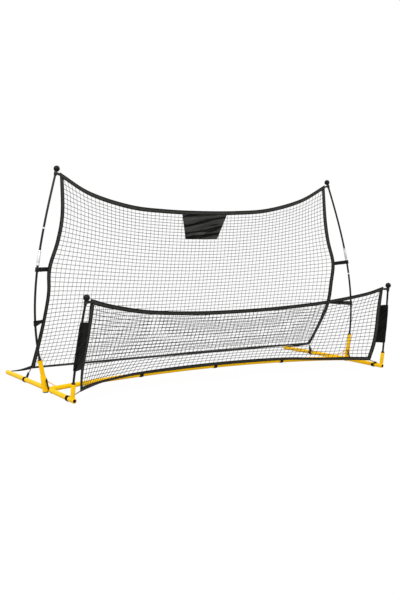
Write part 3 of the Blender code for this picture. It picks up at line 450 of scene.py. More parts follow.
# %% Cut a hole in a part
def as_object(name, part):
    """A mesh object from a part, still about the hub line."""
    points, faces, corners = part
    mesh = bpy.data.meshes.new(name)
    mesh.from_pydata(points.tolist(), [], faces)
    layer = mesh.uv_layers.new(name="UVMap")
    layer.uv.foreach_set("vector", corners.astype(np.float32).ravel())
    shell = bmesh.new()
    shell.from_mesh(mesh)
    bmesh.ops.recalc_face_normals(shell, faces=shell.faces)
    shell.to_mesh(mesh)
    shell.free()
    obj = bpy.data.objects.new(name, mesh)
    scene.collection.objects.link(obj)
    return obj


def as_part(mesh):
    points = np.array([v.co for v in mesh.vertices], float).reshape(-1, 3)
    corners = np.zeros(len(mesh.loops) * 2, np.float32)
    mesh.uv_layers[0].uv.foreach_get("vector", corners)
    return points, [tuple(p.vertices) for p in mesh.polygons], corners.reshape(-1, 2)


def cut(part, tool):
    """The part with the tool's shape taken out of it."""
    target = as_object("cut_target", part)
    cutter = as_object("cutter", tool)
    hole = target.modifiers.new("hole", "BOOLEAN")
    hole.object = cutter
    hole.solver = "EXACT"
    result = bpy.data.meshes.new_from_object(target.evaluated_get(bpy.context.evaluated_depsgraph_get()))
    made = as_part(result)
    for old in (target, cutter):
        bpy.data.meshes.remove(old.data)
    bpy.data.meshes.remove(result)
    return made


# %% Make a piece of the object
def joined(parts):
    points, faces, corners = [], [], []
    count = 0
    for part_points, part_faces, part_corners in parts:
        points.append(part_points)
        faces += [tuple(i + count for i in face) for face in part_faces]
        corners.append(part_corners)
        count += len(part_points)
    return np.concatenate(points), faces, np.concatenate(corners)


def finish_piece(obj, material, nodes=(), body="frame", sharp=38.0):
    """Smooth a piece, give it its material and hand it to its body."""
    obj.data.materials.clear()
    obj.data.materials.append(material)
    obj.data.shade_smooth()
    obj.data.set_sharp_from_angle(angle=math.radians(sharp))
    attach(obj, body)
    if nodes:
        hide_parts(*nodes)
    print(obj.name, len(obj.data.polygons), "faces")
    return obj


def piece(name, parts, material, nodes=(), body="frame"):
    """One piece from its parts, moved from the hub line to where the CAD has it."""
    points, faces, corners = joined(parts)
    obj = as_object(name, (points + SHIFT, faces, corners))
    return finish_piece(obj, material, nodes, body)


def steel(name, parts):
    """A powder-coated piece in place of the CAD node of that name."""
    piece("steel_" + name, parts, POWDER, [name])


# %% [markdown]
# ## Where the tubes and poles run
# The cross tube arches up between the hubs, and each rail slopes from its hub down to both ends. A
# sprung pole is a clamped rod, so a cubic Hermite curve with a lean at each end gives its bow. These
# are the same rules and sizes as in the CAD source, which this file can't read.

# %% Routes
HALF = 1.050
REAR_REACH = 0.655
FRONT_REACH = 0.335
TUBE_R = 0.013
BORE_R = 0.0118
SPIGOT_R = 0.0115
SPIGOT_BORE_R = 0.0103
HUB_LIFT = 0.004
HUB_Z = TUBE_R + HUB_LIFT
CROSS_RISE = 0.039
FRONT_SEAM = 0.050
CROSS_SEAM = 0.065
SPIGOT = 0.050
MIDDLE_SEAM = 0.340
SLEEVE_R = 0.015
SLEEVE_OUT = 0.015
SLEEVE_LEAN = 0.150
SLEEVE_TOP = 0.090
SOCKET_R = 0.012
SOCKET_BORE_R = 0.0108
SOCKET_TOP = 0.173
SOCKET_LEAN = (0.180, 0.050)
POST_R = 0.0115
POST_BORE_R = 0.0103
POST_LEAN = 0.150
POST_TOP = 0.098
POLE_R = 0.006
SIDES = {"left": -1, "right": 1}
BACK = np.array((0.0, 1.0, 0.0))
UP = np.array((0.0, 0.0, 1.0))


def mirrored(point, side):
    return np.array((point[0] * side, point[1], point[2]))


def cross_point(x):
    return (x, 0.0, HUB_Z + CROSS_RISE * (1 - (x / HALF) ** 2))


def rail_point(y):
    return (HALF, y, HUB_Z - HUB_LIFT * abs(y) / (REAR_REACH if y > 0 else FRONT_REACH))


def sleeve_point(z):
    return (HALF + SLEEVE_OUT + SLEEVE_LEAN * (z - HUB_LIFT), SLEEVE_BACK, z)


def socket_point(z):
    bend = sleeve_point(SLEEVE_TOP)
    rise = z - SLEEVE_TOP
    return (bend[0] + SOCKET_LEAN[0] * rise, bend[1] + SOCKET_LEAN[1] * rise, z)


def hermite(foot, tip, foot_lean, tip_lean, z):
    """Place at height z of a pole that leaves its foot and reaches its tip at given leans."""
    rise = tip[2] - foot[2]
    t = (z - foot[2]) / rise
    from_foot = 2 * t ** 3 - 3 * t ** 2 + 1
    foot_pull = (t ** 3 - 2 * t ** 2 + t) * rise
    tip_pull = (t ** 3 - t ** 2) * rise
    x, y = [from_foot * foot[a] + foot_pull * foot_lean[a] + (1 - from_foot) * tip[a] + tip_pull * tip_lean[a]
            for a in (0, 1)]
    return (x, y, z)


# %% Pole routes
TALL_TIP = (HALF - 0.099, 0.103, 1.186)
TALL_TIP_LEAN = (-0.310, 0.130)
POST_FOOT = (HALF + 0.004, -(FRONT_REACH - 0.013), TUBE_R)
LOW_FOOT = (POST_FOOT[0], POST_FOOT[1] - POST_LEAN * (POST_TOP - TUBE_R), POST_TOP)
LOW_FOOT_LEAN = (-0.050, -POST_LEAN)
LOW_TIP = (HALF - 0.037, -0.409, 0.529)
LOW_TIP_LEAN = (-0.125, -0.180)


def tall_point(z):
    if z < SOCKET_TOP:
        return socket_point(z)
    return hermite(socket_point(SOCKET_TOP), TALL_TIP, SOCKET_LEAN, TALL_TIP_LEAN, z)


def post_point(z):
    return (POST_FOOT[0], POST_FOOT[1] - POST_LEAN * (z - TUBE_R), z)


def low_point(z):
    if z < POST_TOP:
        return post_point(z)
    return hermite(LOW_FOOT, LOW_TIP, LOW_FOOT_LEAN, LOW_TIP_LEAN, z)


def along_route(route, places, side):
    """The points of a route at several places, on one side."""
    return [mirrored(route(place), side) for place in places]


def fitted(route, rows, side, bore=None, at=0.0):
    """A solid on a route, or a pipe with that bore; each row is a place, counted from at, and a radius."""
    line = along_route(route, [at + place for place, _ in rows], side)
    radii = [radius for _, radius in rows]
    return tube(line, radii) if bore is None else pipe(line, radii, bore)


# %% [markdown]
# ## Snap buttons
# Each knock-down joint has a small domed pin on a leaf spring that pops through a hole in the tube.
# The six pins are the parts that move: pressed in, each slides 2.5 mm along its own axis. So each is
# a piece on its own body, and the tubes get real holes for them.

# %% Button places and pins
BUTTON_R = 0.003
BUTTON_PROUD = 0.003
BUTTON_LENGTH = 0.0085
BUTTON_TRAVEL = 0.0025
BUTTON_DOME = 0.0015
BUTTON_BEVEL = 0.0004
SOCKET_BUTTON_Z = 0.0745
RAIL_BUTTON_IN = 0.012
CROSS_BUTTON_IN = 0.020
RAIL_BUTTON_DOWN = math.radians(35.0)


def button_places(side):
    """For each button: a point on its tube's axis, the way out, and the tube's radius."""
    lean = unit((SLEEVE_LEAN * side, 0.0, 1.0))
    inboard = np.array((-side, -0.25, 0.0))
    outboard = np.array((side * math.cos(RAIL_BUTTON_DOWN), 0.0, -math.sin(RAIL_BUTTON_DOWN)))
    socket, rail, cross = [mirrored(point, side) for point in (
        sleeve_point(SOCKET_BUTTON_Z), rail_point(-FRONT_SEAM - RAIL_BUTTON_IN),
        cross_point(MIDDLE_SEAM + CROSS_BUTTON_IN))]
    return {"socket": (socket, unit(inboard - lean * inboard.dot(lean)), SLEEVE_R),
            "rail": (rail, outboard, TUBE_R), "cross": (cross, BACK, TUBE_R)}


def with_hole(part, joint, side):
    """The part with the hole for one button."""
    start, out, radius = button_places(side)[joint]
    inner = radius + BUTTON_PROUD - BUTTON_LENGTH - BUTTON_TRAVEL - FIT
    return cut(part, tube([start + out * inner, start + out * (radius + 0.01)], BUTTON_R + FIT, 24))


arc = np.linspace(0, math.pi / 2, 7)
profile = [(BUTTON_R * math.sin(a), BUTTON_DOME * (math.cos(a) - 1)) for a in arc]
profile += [(BUTTON_R, -BUTTON_LENGTH + BUTTON_BEVEL), (BUTTON_R - BUTTON_BEVEL, -BUTTON_LENGTH)]
for word, side in SIDES.items():
    for joint, (start, out, radius) in button_places(side).items():
        pin = turned(profile, start + out * (radius + BUTTON_PROUD), out, 24)
        name = joint + "_button_" + word
        piece("steel_" + name, [pin], ZINC, [name], word + "_" + joint + "_button")

# %% [markdown]
# ## The welded side frames
# Each side frame is one weldment: the rear rail, the sleeve for the tall pole, stubs for the cross
# tube and the front rail, and three thin rods that stiffen the corner. The stubs are swaged down, so
# that the next tube slides over them and a fine groove shows at the joint.

# %% Side frames, front rails and cross tubes
SWAGE = 0.0015
ROD_R = 0.0025
ROD_TOP = 0.074
CROSS_ROD_IN = 0.053
REAR_ROD_Y = 0.115
FRONT_ROD_START = (-0.0115, -0.0115)
FRONT_ROD_END = (0.0125, -0.030)
RIM_BORE_R = 0.0090


def stations(first, last, step=0.02):
    return np.linspace(first, last, max(2, int(abs(last - first) / step) + 1))


def rod_lines(side):
    """Both ends of the three stiffening rods; the last is the front one, in front of the sleeve."""
    top = sleeve_point(ROD_TOP)
    front_top = (top[0] + FRONT_ROD_START[0], top[1] + FRONT_ROD_START[1], top[2])
    foot = rail_point(FRONT_ROD_END[1])
    front_foot = (foot[0] + FRONT_ROD_END[0], foot[1], foot[2])
    lines = ((top, cross_point(HALF - CROSS_ROD_IN)), (top, rail_point(REAR_ROD_Y)), (front_top, front_foot))
    return [[mirrored(point, side) for point in line] for line in lines]


def side_frame(side):
    full = [*stations(REAR_REACH, 0.0, 0.05), -0.02, -FRONT_SEAM + SWAGE]
    places = full + [-FRONT_SEAM, -FRONT_SEAM - 0.02, -FRONT_SEAM - SPIGOT]
    outer = [TUBE_R] * len(full) + [SPIGOT_R] * 3
    inner = [BORE_R] * (len(full) - 1) + [SPIGOT_BORE_R] * 4
    rail = with_hole(pipe(along_route(rail_point, places, side), outer, inner), "rail", side)
    seam = HALF - CROSS_SEAM
    places = [HALF - 0.006, seam + 0.02, seam + SWAGE, seam, seam - 0.02, seam - SPIGOT]
    stub = pipe(along_route(cross_point, places, side), [TUBE_R] * 3 + [SPIGOT_R] * 3, SPIGOT_BORE_R)
    foot = HUB_LIFT + SLEEVE_LEAN * SLEEVE_R
    heights = [foot, foot + 0.001, 0.03, 0.06, SLEEVE_TOP - 0.001, SLEEVE_TOP]
    radii = [SLEEVE_R - 0.0008, *[SLEEVE_R] * 4, SLEEVE_R - 0.0006]
    sleeve = pipe(along_route(sleeve_point, heights, side), radii, SOCKET_R + FIT)
    rods = [tube(np.linspace(top, end, 6), ROD_R, 16) for top, end in rod_lines(side)]
    return [rail, stub, with_hole(sleeve, "socket", side), *rods]


def front_rail(side):
    places = stations(-FRONT_SEAM - FIT, -FRONT_REACH, 0.04)
    rail = with_hole(pipe(along_route(rail_point, places, side), TUBE_R, BORE_R), "rail", side)
    end = mirrored(rail_point(-FRONT_REACH), side)
    out = unit(end - mirrored(rail_point(0.0), side))
    rim_path = [end + out * place for place in (-0.001, 0.0004, 0.0018, 0.0028)]
    rim = pipe(rim_path, [TUBE_R, TUBE_R, TUBE_R - 0.0006, TUBE_R - 0.0020], RIM_BORE_R)
    heights = [TUBE_R + 0.006, 0.05, POST_TOP - 0.001, POST_TOP]
    post = pipe(along_route(post_point, heights, side), [*[POST_R] * 3, POST_R - 0.0006], POST_BORE_R)
    return [rail, rim, post]


def cross_tube(side):
    places = stations(MIDDLE_SEAM + FIT, HALF - CROSS_SEAM - FIT, 0.04)
    return [with_hole(pipe(along_route(cross_point, places, side), TUBE_R, BORE_R), "cross", side)]


for word, side in SIDES.items():
    piece("welded_side_frame_" + word, side_frame(side), POWDER, ["side_frame_" + word])
    steel("front_rail_" + word, front_rail(side))
    steel("cross_tube_" + word, cross_tube(side))

# %% Middle cross tube with swaged ends
reach = MIDDLE_SEAM + SPIGOT
full = stations(-MIDDLE_SEAM + SWAGE, MIDDLE_SEAM - SWAGE, 0.04)
places = [-reach, -MIDDLE_SEAM - 0.02, -MIDDLE_SEAM, *full, MIDDLE_SEAM, MIDDLE_SEAM + 0.02, reach]
radii = [SPIGOT_R] * 3 + [TUBE_R] * len(full) + [SPIGOT_R] * 3
middle = pipe([cross_point(x) for x in places], radii, SPIGOT_BORE_R)
for side in SIDES.values():
    middle = with_hole(middle, "cross", side)
steel("cross_tube_middle", [middle])

# %% Sockets
IN_SLEEVE = [0.038, 0.05, 0.07, 0.085, SLEEVE_TOP]
ABOVE_SLEEVE = [0.095, 0.11, 0.13, 0.15, 0.161, 0.167, 0.172, SOCKET_TOP]
flare = [SOCKET_R] * 10 + [SOCKET_R + 0.0006, SOCKET_R + 0.0015, SOCKET_R + 0.0012]
bore = [SOCKET_BORE_R] * 11 + [SOCKET_BORE_R + 0.0004, SOCKET_BORE_R + 0.0006]
for word, side in SIDES.items():
    line = along_route(sleeve_point, IN_SLEEVE, side) + along_route(tall_point, ABOVE_SLEEVE, side)
    steel("pole_socket_" + word, [with_hole(pipe(line, flare, bore), "socket", side)])

# %% [markdown]
# ## Dark coils on the front rods
# The front stiffening rod of each side frame is drawn dark and knobbly, with a round eye at each end:
# a dark wire is wound round it. The wire is one tube along a helix, a turning line.

# %% Dark coils on the front rods
COIL_R = 0.0038
COIL_PITCH = 0.0028
COIL_WIRE_R = 0.0012
COIL_IN = 0.006
EYE_IN = 0.004


def coil(start, end, radius, pitch):
    """A wire wound round the line from start to end."""
    direction = unit(end - start)
    length = np.linalg.norm(end - start)
    side = unit(np.cross(direction, (0.0, 0.0, 1.0)))
    up = np.cross(direction, side)
    turn = np.linspace(0.0, math.tau * length / pitch, int(length / pitch * 10))[:, None]
    return start + direction * length * turn / turn[-1] + radius * (np.cos(turn) * side + np.sin(turn) * up)


eye = [(ROD_R, -0.0030), (0.0048, -0.0018), (0.0056, 0.0), (0.0048, 0.0018), (ROD_R, 0.0030)]
for word, side in SIDES.items():
    top, end = rod_lines(side)[2]
    down = unit(end - top)
    wire_line = coil(top + down * COIL_IN, end - down * COIL_IN, COIL_R, COIL_PITCH)
    eyes = [turned(eye, place, down, 20) for place in (top + down * EYE_IN, end - down * EYE_IN)]
    piece("dark_rod_coil_" + word, [tube(wire_line, COIL_WIRE_R, 6), *eyes], ZINC)

# %% [markdown]
# ## Plugs and feet
# The rails' rear ends are closed by thin-flanged plugs. The rims of their front ends are rolled in,
# and a smaller plug sits flush in each. One stubby foot stands under each sleeve. All are moulded, so
# their edges are rounded by about half a millimetre, and the plugs have a dished face with a core
# hole that shows dark.

# %% Plugs and feet
def plug_profile(flange, stem):
    """Half the section of a plug, from the stem's inner end round to the bottom of the core hole."""
    face = FIT + 0.003
    return [(stem - 0.001, -0.015), (stem, -0.013), (stem, FIT),
            (flange - 0.0004, FIT), (flange, FIT + 0.0006), (flange, FIT + 0.0022), (flange - 0.0008, face),
            (0.0068, face), (0.0062, FIT + 0.0018), (0.0032, FIT + 0.0016),
            (0.0028, FIT - 0.006), (0.0, FIT - 0.006)]


PLUGS = {"rear": (REAR_REACH, plug_profile(TUBE_R, SPIGOT_R)),
         "front": (-FRONT_REACH, plug_profile(RIM_BORE_R - FIT, RIM_BORE_R - FIT))}
foot_profile = [(0.0, 0.0), (SLEEVE_R - 0.0012, 0.0), (SLEEVE_R - 0.0002, 0.0006), (SLEEVE_R, 0.0014),
                (SLEEVE_R - 0.0003, 0.0032), (SLEEVE_R - 0.0009, HUB_LIFT - FIT), (0.0050, HUB_LIFT - FIT),
                (0.0048, HUB_LIFT + 0.0056), (0.0, HUB_LIFT + 0.0057)]
for word, side in SIDES.items():
    hub = mirrored(rail_point(0.0), side)
    for end_word, (reach, profile) in PLUGS.items():
        end = mirrored(rail_point(reach), side)
        name = end_word + "_plug_" + word
        plug = turned(profile, end, unit(end - hub))
        piece("moulded_" + name, [plug], POLYPROPYLENE, [name])
    foot = turned(foot_profile, mirrored((HALF + SLEEVE_OUT, SLEEVE_BACK, 0.0), side), (0, 0, 1))
    piece("moulded_foot_" + word, [foot], SOFT_GREY, ["hub_foot_" + word])

# %% [markdown]
# ## Poles, bushes, ferrules and caps
# A tall pole is two fibreglass rods in an aluminium ferrule, crimped near both of its ends. A black
# bush is moulded on the rod where it stops on its socket or post. A ball cap with a waisted neck
# keeps the net's loop from sliding off. Rods, bushes and ferrules follow the pole's own curve, and
# a cap is in line with its end.

# %% Poles
FERRULE_LOW = 0.670
FERRULE_HIGH = 0.750
FERRULE_MID = (FERRULE_LOW + FERRULE_HIGH) / 2
CAP_BALL_R = 0.017
CAP_NECK_R = 0.0075
CAP_NECK_LENGTH = 0.022
CAP_BORE_ABOVE = 0.004
CAP_STRAIGHT = 0.03
POLE_DEPTH = 0.060
BUSH_SKIRT = 0.020


def cap_line(pole, tip_z):
    """The ball's centre and the cap's direction, in line with the end of its pole."""
    tip = np.array(pole(tip_z))
    return tip, unit(tip - np.array(pole(tip_z - CAP_BALL_R - CAP_NECK_LENGTH)))


def rod(route, low, high, side, capped=False):
    """A fibreglass rod along its route; a capped one goes on into the bore of its ball cap."""
    line = along_route(route, stations(low, high - CAP_STRAIGHT if capped else high), side)
    if capped:
        tip, direction = cap_line(route, high)
        line.append(mirrored(tip + direction * (CAP_BORE_ABOVE - FIT), side))
    return tube(line, POLE_R, 24)


def bush(route, stop, height, side, skirt_r, top_r):
    """Moulded bush: a skirt in the tube's mouth and a flared collar on top of it."""
    rows = [(stop - BUSH_SKIRT, POLE_R + 0.0002), (stop - 0.019, skirt_r), (stop + FIT, skirt_r),
            (stop + 2 * FIT, 0.0105), (stop + 0.0012, 0.01125), (stop + height * 0.45, 0.0110),
            (stop + height * 0.8, (0.0108 + top_r) / 2), (stop + height, top_r),
            (stop + height + 0.001, POLE_R)]
    return fitted(route, rows, side)


def fibreglass(name, node, parts):
    piece("fibreglass_" + name, parts, FIBREGLASS, [node])


for word, side in SIDES.items():
    lower = rod(tall_point, SOCKET_TOP - POLE_DEPTH, FERRULE_MID - FIT, side)
    stop = bush(tall_point, SOCKET_TOP, 0.008, side, SOCKET_BORE_R - FIT, 0.0080)
    fibreglass("tall_lower_" + word, "tall_pole_lower_" + word, [lower, stop])
    upper = rod(tall_point, FERRULE_MID + FIT, TALL_TIP[2], side, True)
    fibreglass("tall_upper_" + word, "tall_pole_upper_" + word, [upper])
    low = rod(low_point, POST_TOP - POLE_DEPTH, LOW_TIP[2], side, True)
    stop = bush(low_point, POST_TOP, 0.005, side, POST_BORE_R - FIT, 0.0106)
    fibreglass("low_" + word, "low_pole_" + word, [low, stop])

# %% Ferrules with crimps, and white rings
FERRULE_R = 0.00825
FERRULE_END_R = 0.0078
CRIMP_R = 0.0076
CRIMP_IN = 0.012
# Height and radius of the two crimps and of the plain middle
CRIMPS = ((FERRULE_LOW + CRIMP_IN, CRIMP_R), (FERRULE_MID, FERRULE_R), (FERRULE_HIGH - CRIMP_IN, CRIMP_R))
RING_HEIGHTS = {"left": 0.868, "right": 0.583}
RING_ROWS = [(-0.004, 0.0062), (-0.0035, 0.0066), (0.0, 0.0067), (0.0035, 0.0066), (0.004, 0.0062)]
rows = [(FERRULE_LOW, FERRULE_END_R), (FERRULE_LOW + 0.0006, FERRULE_R)]
for middle, depth in CRIMPS:
    rows += [(middle - 0.003, FERRULE_R), (middle - 0.0012, depth)]
    rows += [(middle + 0.0012, depth), (middle + 0.003, FERRULE_R)]
rows += [(FERRULE_HIGH - 0.0006, FERRULE_R), (FERRULE_HIGH, FERRULE_END_R)]
for word, side in SIDES.items():
    ferrule = fitted(tall_point, rows, side, POLE_R + FIT)
    piece("crimped_ferrule_" + word, [ferrule], ALUMINIUM, ["ferrule_" + word])
    ring = fitted(tall_point, RING_ROWS, side, POLE_R + 0.00005, RING_HEIGHTS[word])
    piece("white_pole_ring_" + word, [ring], WHITE_RING_FINISH)

# %% Ball caps
arc = np.linspace(math.pi / 2, -math.acos(CAP_NECK_R / CAP_BALL_R), 22)
ball = [(CAP_BALL_R * math.cos(a), CAP_BALL_R * math.sin(a)) for a in arc]
foot = ball[-1][1] - CAP_NECK_LENGTH
neck = [(0.0072, ball[-1][1] - 0.004), (0.0072, foot + 0.009), (CAP_NECK_R, foot + 0.006)]
lip = [(0.0082, foot + 0.003), (0.0088, foot + 0.0012), (0.0090, foot + 0.0004), (0.0086, foot)]
bore = [(POLE_R + FIT, foot), (POLE_R + FIT, CAP_BORE_ABOVE), (0.0, CAP_BORE_ABOVE)]
for kind, route, tip_z in (("tall", tall_point, TALL_TIP[2]), ("low", low_point, LOW_TIP[2])):
    centre, direction = cap_line(route, tip_z)
    for word, side in SIDES.items():
        cap = turned(ball + neck + lip + bore, mirrored(centre, side), mirrored(direction, side), 40)
        name = kind + "_cap_" + word
        piece("ball_" + name, [cap], POLYPROPYLENE, [name])

# %% [markdown]
# ## The shape of a stretched net
# A net that is pulled between four edges settles where every knot is the mean of its four
# neighbours, so that rule is run until hardly anything moves. The outlines were read off the
# photograph. The squares were counted from it too: about 72 by 43 in the tall net and 72 by 18 in the
# low one.

# %% Net outlines
WEBBING = 0.025
WEBBING_THICK = 0.003
STRAP_THICK = 0.0018
CLOTH_THICK = 0.0014
NET_THICK = 0.0024
TALL_SQUARES = (72, 43)
LOW_SQUARES = (72, 18)
TALL_TOP = [(0.0, 0.147, 0.981), (0.25, 0.145, 0.986), (0.49, 0.137, 1.006), (0.745, 0.124, 1.071),
            (0.932, 0.105, 1.168)]
TALL_SIDE = [(1.026, 0.341, 0.077), (1.027, 0.238, 0.220), (1.025, 0.142, 0.380), (1.015, 0.101, 0.520),
             (1.015, 0.086, 0.655), (0.967, 0.085, 0.800), (0.938, 0.086, 0.950), (0.932, 0.105, 1.168)]
TALL_BOTTOM = [(0.0, 0.346, 0.077), (0.5, 0.345, 0.077), (1.026, 0.341, 0.077)]
LOW_TOP = [(0.0, -0.205, 0.408), (0.3, -0.225, 0.415), (0.6, -0.285, 0.440), (0.85, -0.370, 0.485),
           (0.984, -0.397, 0.522)]
LOW_SIDE = [(0.995, -0.285, 0.045), (1.006, -0.318, 0.150), (1.001, -0.346, 0.250), (0.991, -0.369, 0.380),
            (0.984, -0.397, 0.522)]
held = [cross_point(x) for x in np.linspace(0.0, 0.55, 4)]
LOW_BOTTOM = [(x, -0.0170, z + 0.004) for x, _, z in held]
LOW_BOTTOM += [(0.75, -0.058, 0.038), (0.90, -0.190, 0.043), (0.995, -0.285, 0.045)]
FLIP = np.array((-1.0, 1.0, 1.0))


def even(line, count, start=0.0, end=0.0):
    """The line cut back by start and end, in count equal steps."""
    run = run_of(line)
    wanted = np.linspace(start, run[-1] - end, count + 1)
    return np.stack([np.interp(wanted, run, line[:, axis]) for axis in range(3)], axis=1)


def smooth_line(points, count):
    """Even points along a smooth line through the given ones."""
    knots = [np.array(p, float) for p in points]
    knots = [2 * knots[0] - knots[1]] + knots + [2 * knots[-1] - knots[-2]]
    fine = []
    for a, b, c, d in zip(knots, knots[1:], knots[2:], knots[3:]):
        for t in np.linspace(0, 1, 24, endpoint=False):
            bend = (2 * a - 5 * b + 4 * c - d) * t ** 2 + (3 * b - 3 * c + d - a) * t ** 3
            fine.append(0.5 * (2 * b + (c - a) * t + bend))
    fine.append(knots[-2])
    return even(np.array(fine), count)


def whole(right_half):
    """A line over both halves from its right half."""
    return [tuple(mirrored(p, -1)) for p in reversed(right_half[1:])] + list(right_half)


# %% Relax a net between its edges
PASSES = 6000


def between(grid):
    """The mean of the four neighbours of each inner point of a grid."""
    return (grid[:-2, 1:-1] + grid[2:, 1:-1] + grid[1:-1, :-2] + grid[1:-1, 2:]) / 4


def relaxed(left, right, bottom, top):
    share = np.linspace(0, 1, len(bottom))[:, None, None]
    rise = np.linspace(0, 1, len(left))[None, :, None]
    grid = (1 - share) * left[None] + share * right[None]
    grid = grid + (1 - rise) * (bottom - grid[:, 0])[:, None] + rise * (top - grid[:, -1])[:, None]
    for _ in range(PASSES):
        grid[1:-1, 1:-1] = between(grid)
    return grid


def net_panel(top, side, bottom, squares):
    """The knots of the net and the edges of its four hems, outer and inner."""
    top, bottom = [smooth_line(whole(edge), squares[0]) for edge in (top, bottom)]
    right = smooth_line(side, squares[1])
    web = relaxed(right * FLIP, right, bottom, top)
    top_way = unit(web[:, -2] - top)
    bottom_way = unit(web[:, 1] - bottom)
    right_way = unit(web[-2] - right)
    top_in = top + WEBBING * top_way
    bottom_in = bottom + WEBBING * bottom_way
    right_out = even(right, squares[1], WEBBING + FIT, WEBBING + FIT)
    right_way[0] = unit(bottom_in[-2] - bottom_in[-1])
    right_way[-1] = unit(top_in[-2] - top_in[-1])
    right_in = right_out + WEBBING * right_way
    net_right = right_in + FIT * right_way
    net_top = top_in + FIT * top_way
    net_bottom = bottom_in + FIT * bottom_way
    for line, corner in ((net_top, -1), (net_bottom, 0)):
        line[0] = net_right[corner] * FLIP
        line[-1] = net_right[corner]
    knots = relaxed(net_right * FLIP, net_right, net_bottom, net_top)
    hems = {"top": (top, top_in), "bottom": (bottom, bottom_in), "right": (right_out, right_in),
            "left": (right_out * FLIP, right_in * FLIP)}
    return knots, hems, right + WEBBING / 3 * unit(web[-2] - right)


TALL_KNOTS, TALL_HEMS, TALL_SEAM = net_panel(TALL_TOP, TALL_SIDE, TALL_BOTTOM, TALL_SQUARES)
LOW_KNOTS, LOW_HEMS, LOW_SEAM = net_panel(LOW_TOP, LOW_SIDE, LOW_BOTTOM, LOW_SQUARES)
square = np.linalg.norm(TALL_KNOTS[36, 20] - TALL_KNOTS[37, 20])
print("tall net squares about", round(float(square) * 1000, 1), "mm")

# %% [markdown]
# ## Geometry Nodes for what repeats
# Twine, knots, stitches and weld ripples all follow lines. One tree turns lines of edges into round
# cord. The second strews a small bead at every point, which is a knot, and the third at even steps
# along a line: a long one is a stitch, and a fat one is a weld ripple. Named inputs hold the sizes,
# so each use only sets numbers, and the result becomes a plain mesh because the export can't carry
# instances.

# %% Node trees
def new_tree(name, sockets):
    """A Geometry Nodes tree with a geometry input and the given named inputs."""
    tree = bpy.data.node_groups.new(name, "GeometryNodeTree")
    tree.interface.new_socket("Geometry", in_out="INPUT", socket_type="NodeSocketGeometry")
    for socket, kind in sockets.items():
        tree.interface.new_socket(socket, in_out="INPUT", socket_type="NodeSocket" + kind)
    tree.interface.new_socket("Geometry", in_out="OUTPUT", socket_type="NodeSocketGeometry")
    return tree, add(tree, "NodeGroupInput"), add(tree, "NodeGroupOutput")


def end_tree(tree, given, result, last):
    """The usual end of a tree: instances made real, then shaded smooth and given the material."""
    real = add(tree, "GeometryNodeRealizeInstances", {0: last})
    smooth = add(tree, "GeometryNodeSetShadeSmooth", {"Geometry": real})
    done = add(tree, "GeometryNodeSetMaterial", {"Geometry": smooth, "Material": given.outputs["Material"]})
    wire(tree, result, {"Geometry": done})


CORD, given, result = new_tree("round_cord", {"Radius": "Float", "Sides": "Int", "Material": "Material"})
line = add(CORD, "GeometryNodeMeshToCurve", {"Mesh": given.outputs["Geometry"]})
ring = add(CORD, "GeometryNodeCurvePrimitiveCircle",
           {"Radius": given.outputs["Radius"], "Resolution": given.outputs["Sides"]})
cord = add(CORD, "GeometryNodeCurveToMesh", {"Curve": line, "Profile Curve": ring, "Fill Caps": True})
end_tree(CORD, given, result, cord)

# %% Beads at points, and beads along lines
BEADS, given, result = new_tree("knots", {"Size": "Float", "Seed": "Int", "Material": "Material"})
seed = given.outputs["Seed"]
bead = add(BEADS, "GeometryNodeMeshIcoSphere", {"Radius": given.outputs["Size"], "Subdivisions": 1})
any_turn = {0: (0, 0, 0), 1: (6.28, 6.28, 6.28), "Seed": seed}
turn = add(BEADS, "FunctionNodeRandomValue", any_turn, data_type="FLOAT_VECTOR")
any_size = {0: (0.8, 0.8, 0.7), 1: (1.3, 1.3, 1.0), "Seed": seed}
size = add(BEADS, "FunctionNodeRandomValue", any_size, data_type="FLOAT_VECTOR")
strewn = add(BEADS, "GeometryNodeInstanceOnPoints",
             {"Points": given.outputs["Geometry"], "Instance": bead, "Rotation": turn, "Scale": size})
end_tree(BEADS, given, result, strewn)

ROW, given, result = new_tree("row_of_beads", {"Step": "Float", "Size": "Vector", "Material": "Material"})
line = add(ROW, "GeometryNodeMeshToCurve", {"Mesh": given.outputs["Geometry"]})
steps = add(ROW, "GeometryNodeResampleCurve", {"Curve": line, "Length": given.outputs["Step"]}, mode="LENGTH")
points = add(ROW, "GeometryNodeCurveToPoints", {"Curve": steps}, mode="EVALUATED")
bead = add(ROW, "GeometryNodeMeshIcoSphere", {"Radius": 1.0, "Subdivisions": 1})
turn = add(ROW, "FunctionNodeAlignRotationToVector", {"Vector": points.outputs["Tangent"]}, axis="X")
strewn = add(ROW, "GeometryNodeInstanceOnPoints",
             {"Points": points.outputs["Points"], "Instance": bead, "Rotation": turn,
              "Scale": given.outputs["Size"]})
end_tree(ROW, given, result, strewn)


# %% Run a tree on lines or points
def grown(name, lines, tree, values, nodes=()):
    """The mesh that a tree makes of lines of points, as a plain piece on the frame's body."""
    points = np.concatenate([np.asarray(line, float) for line in lines]) + SHIFT
    edges = []
    first = 0
    for line in lines:
        edges += [(first + i, first + i + 1) for i in range(len(line) - 1)]
        first += len(line)
    mesh = bpy.data.meshes.new(name)
    mesh.from_pydata(points.tolist(), edges, [])
    obj = bpy.data.objects.new(name, mesh)
    scene.collection.objects.link(obj)
    modifier = obj.modifiers.new("grow", "NODES")
    modifier.node_group = tree
    for item in tree.interface.items_tree:
        if item.in_out == "INPUT" and item.name in values:
            modifier[item.identifier] = values[item.name]
    bpy.context.view_layer.update()
    result = bpy.data.meshes.new_from_object(obj.evaluated_get(bpy.context.evaluated_depsgraph_get()))
    obj.modifiers.clear()
    obj.data = result
    bpy.data.meshes.remove(mesh)
    return finish_piece(obj, values["Material"], nodes, sharp=80.0)


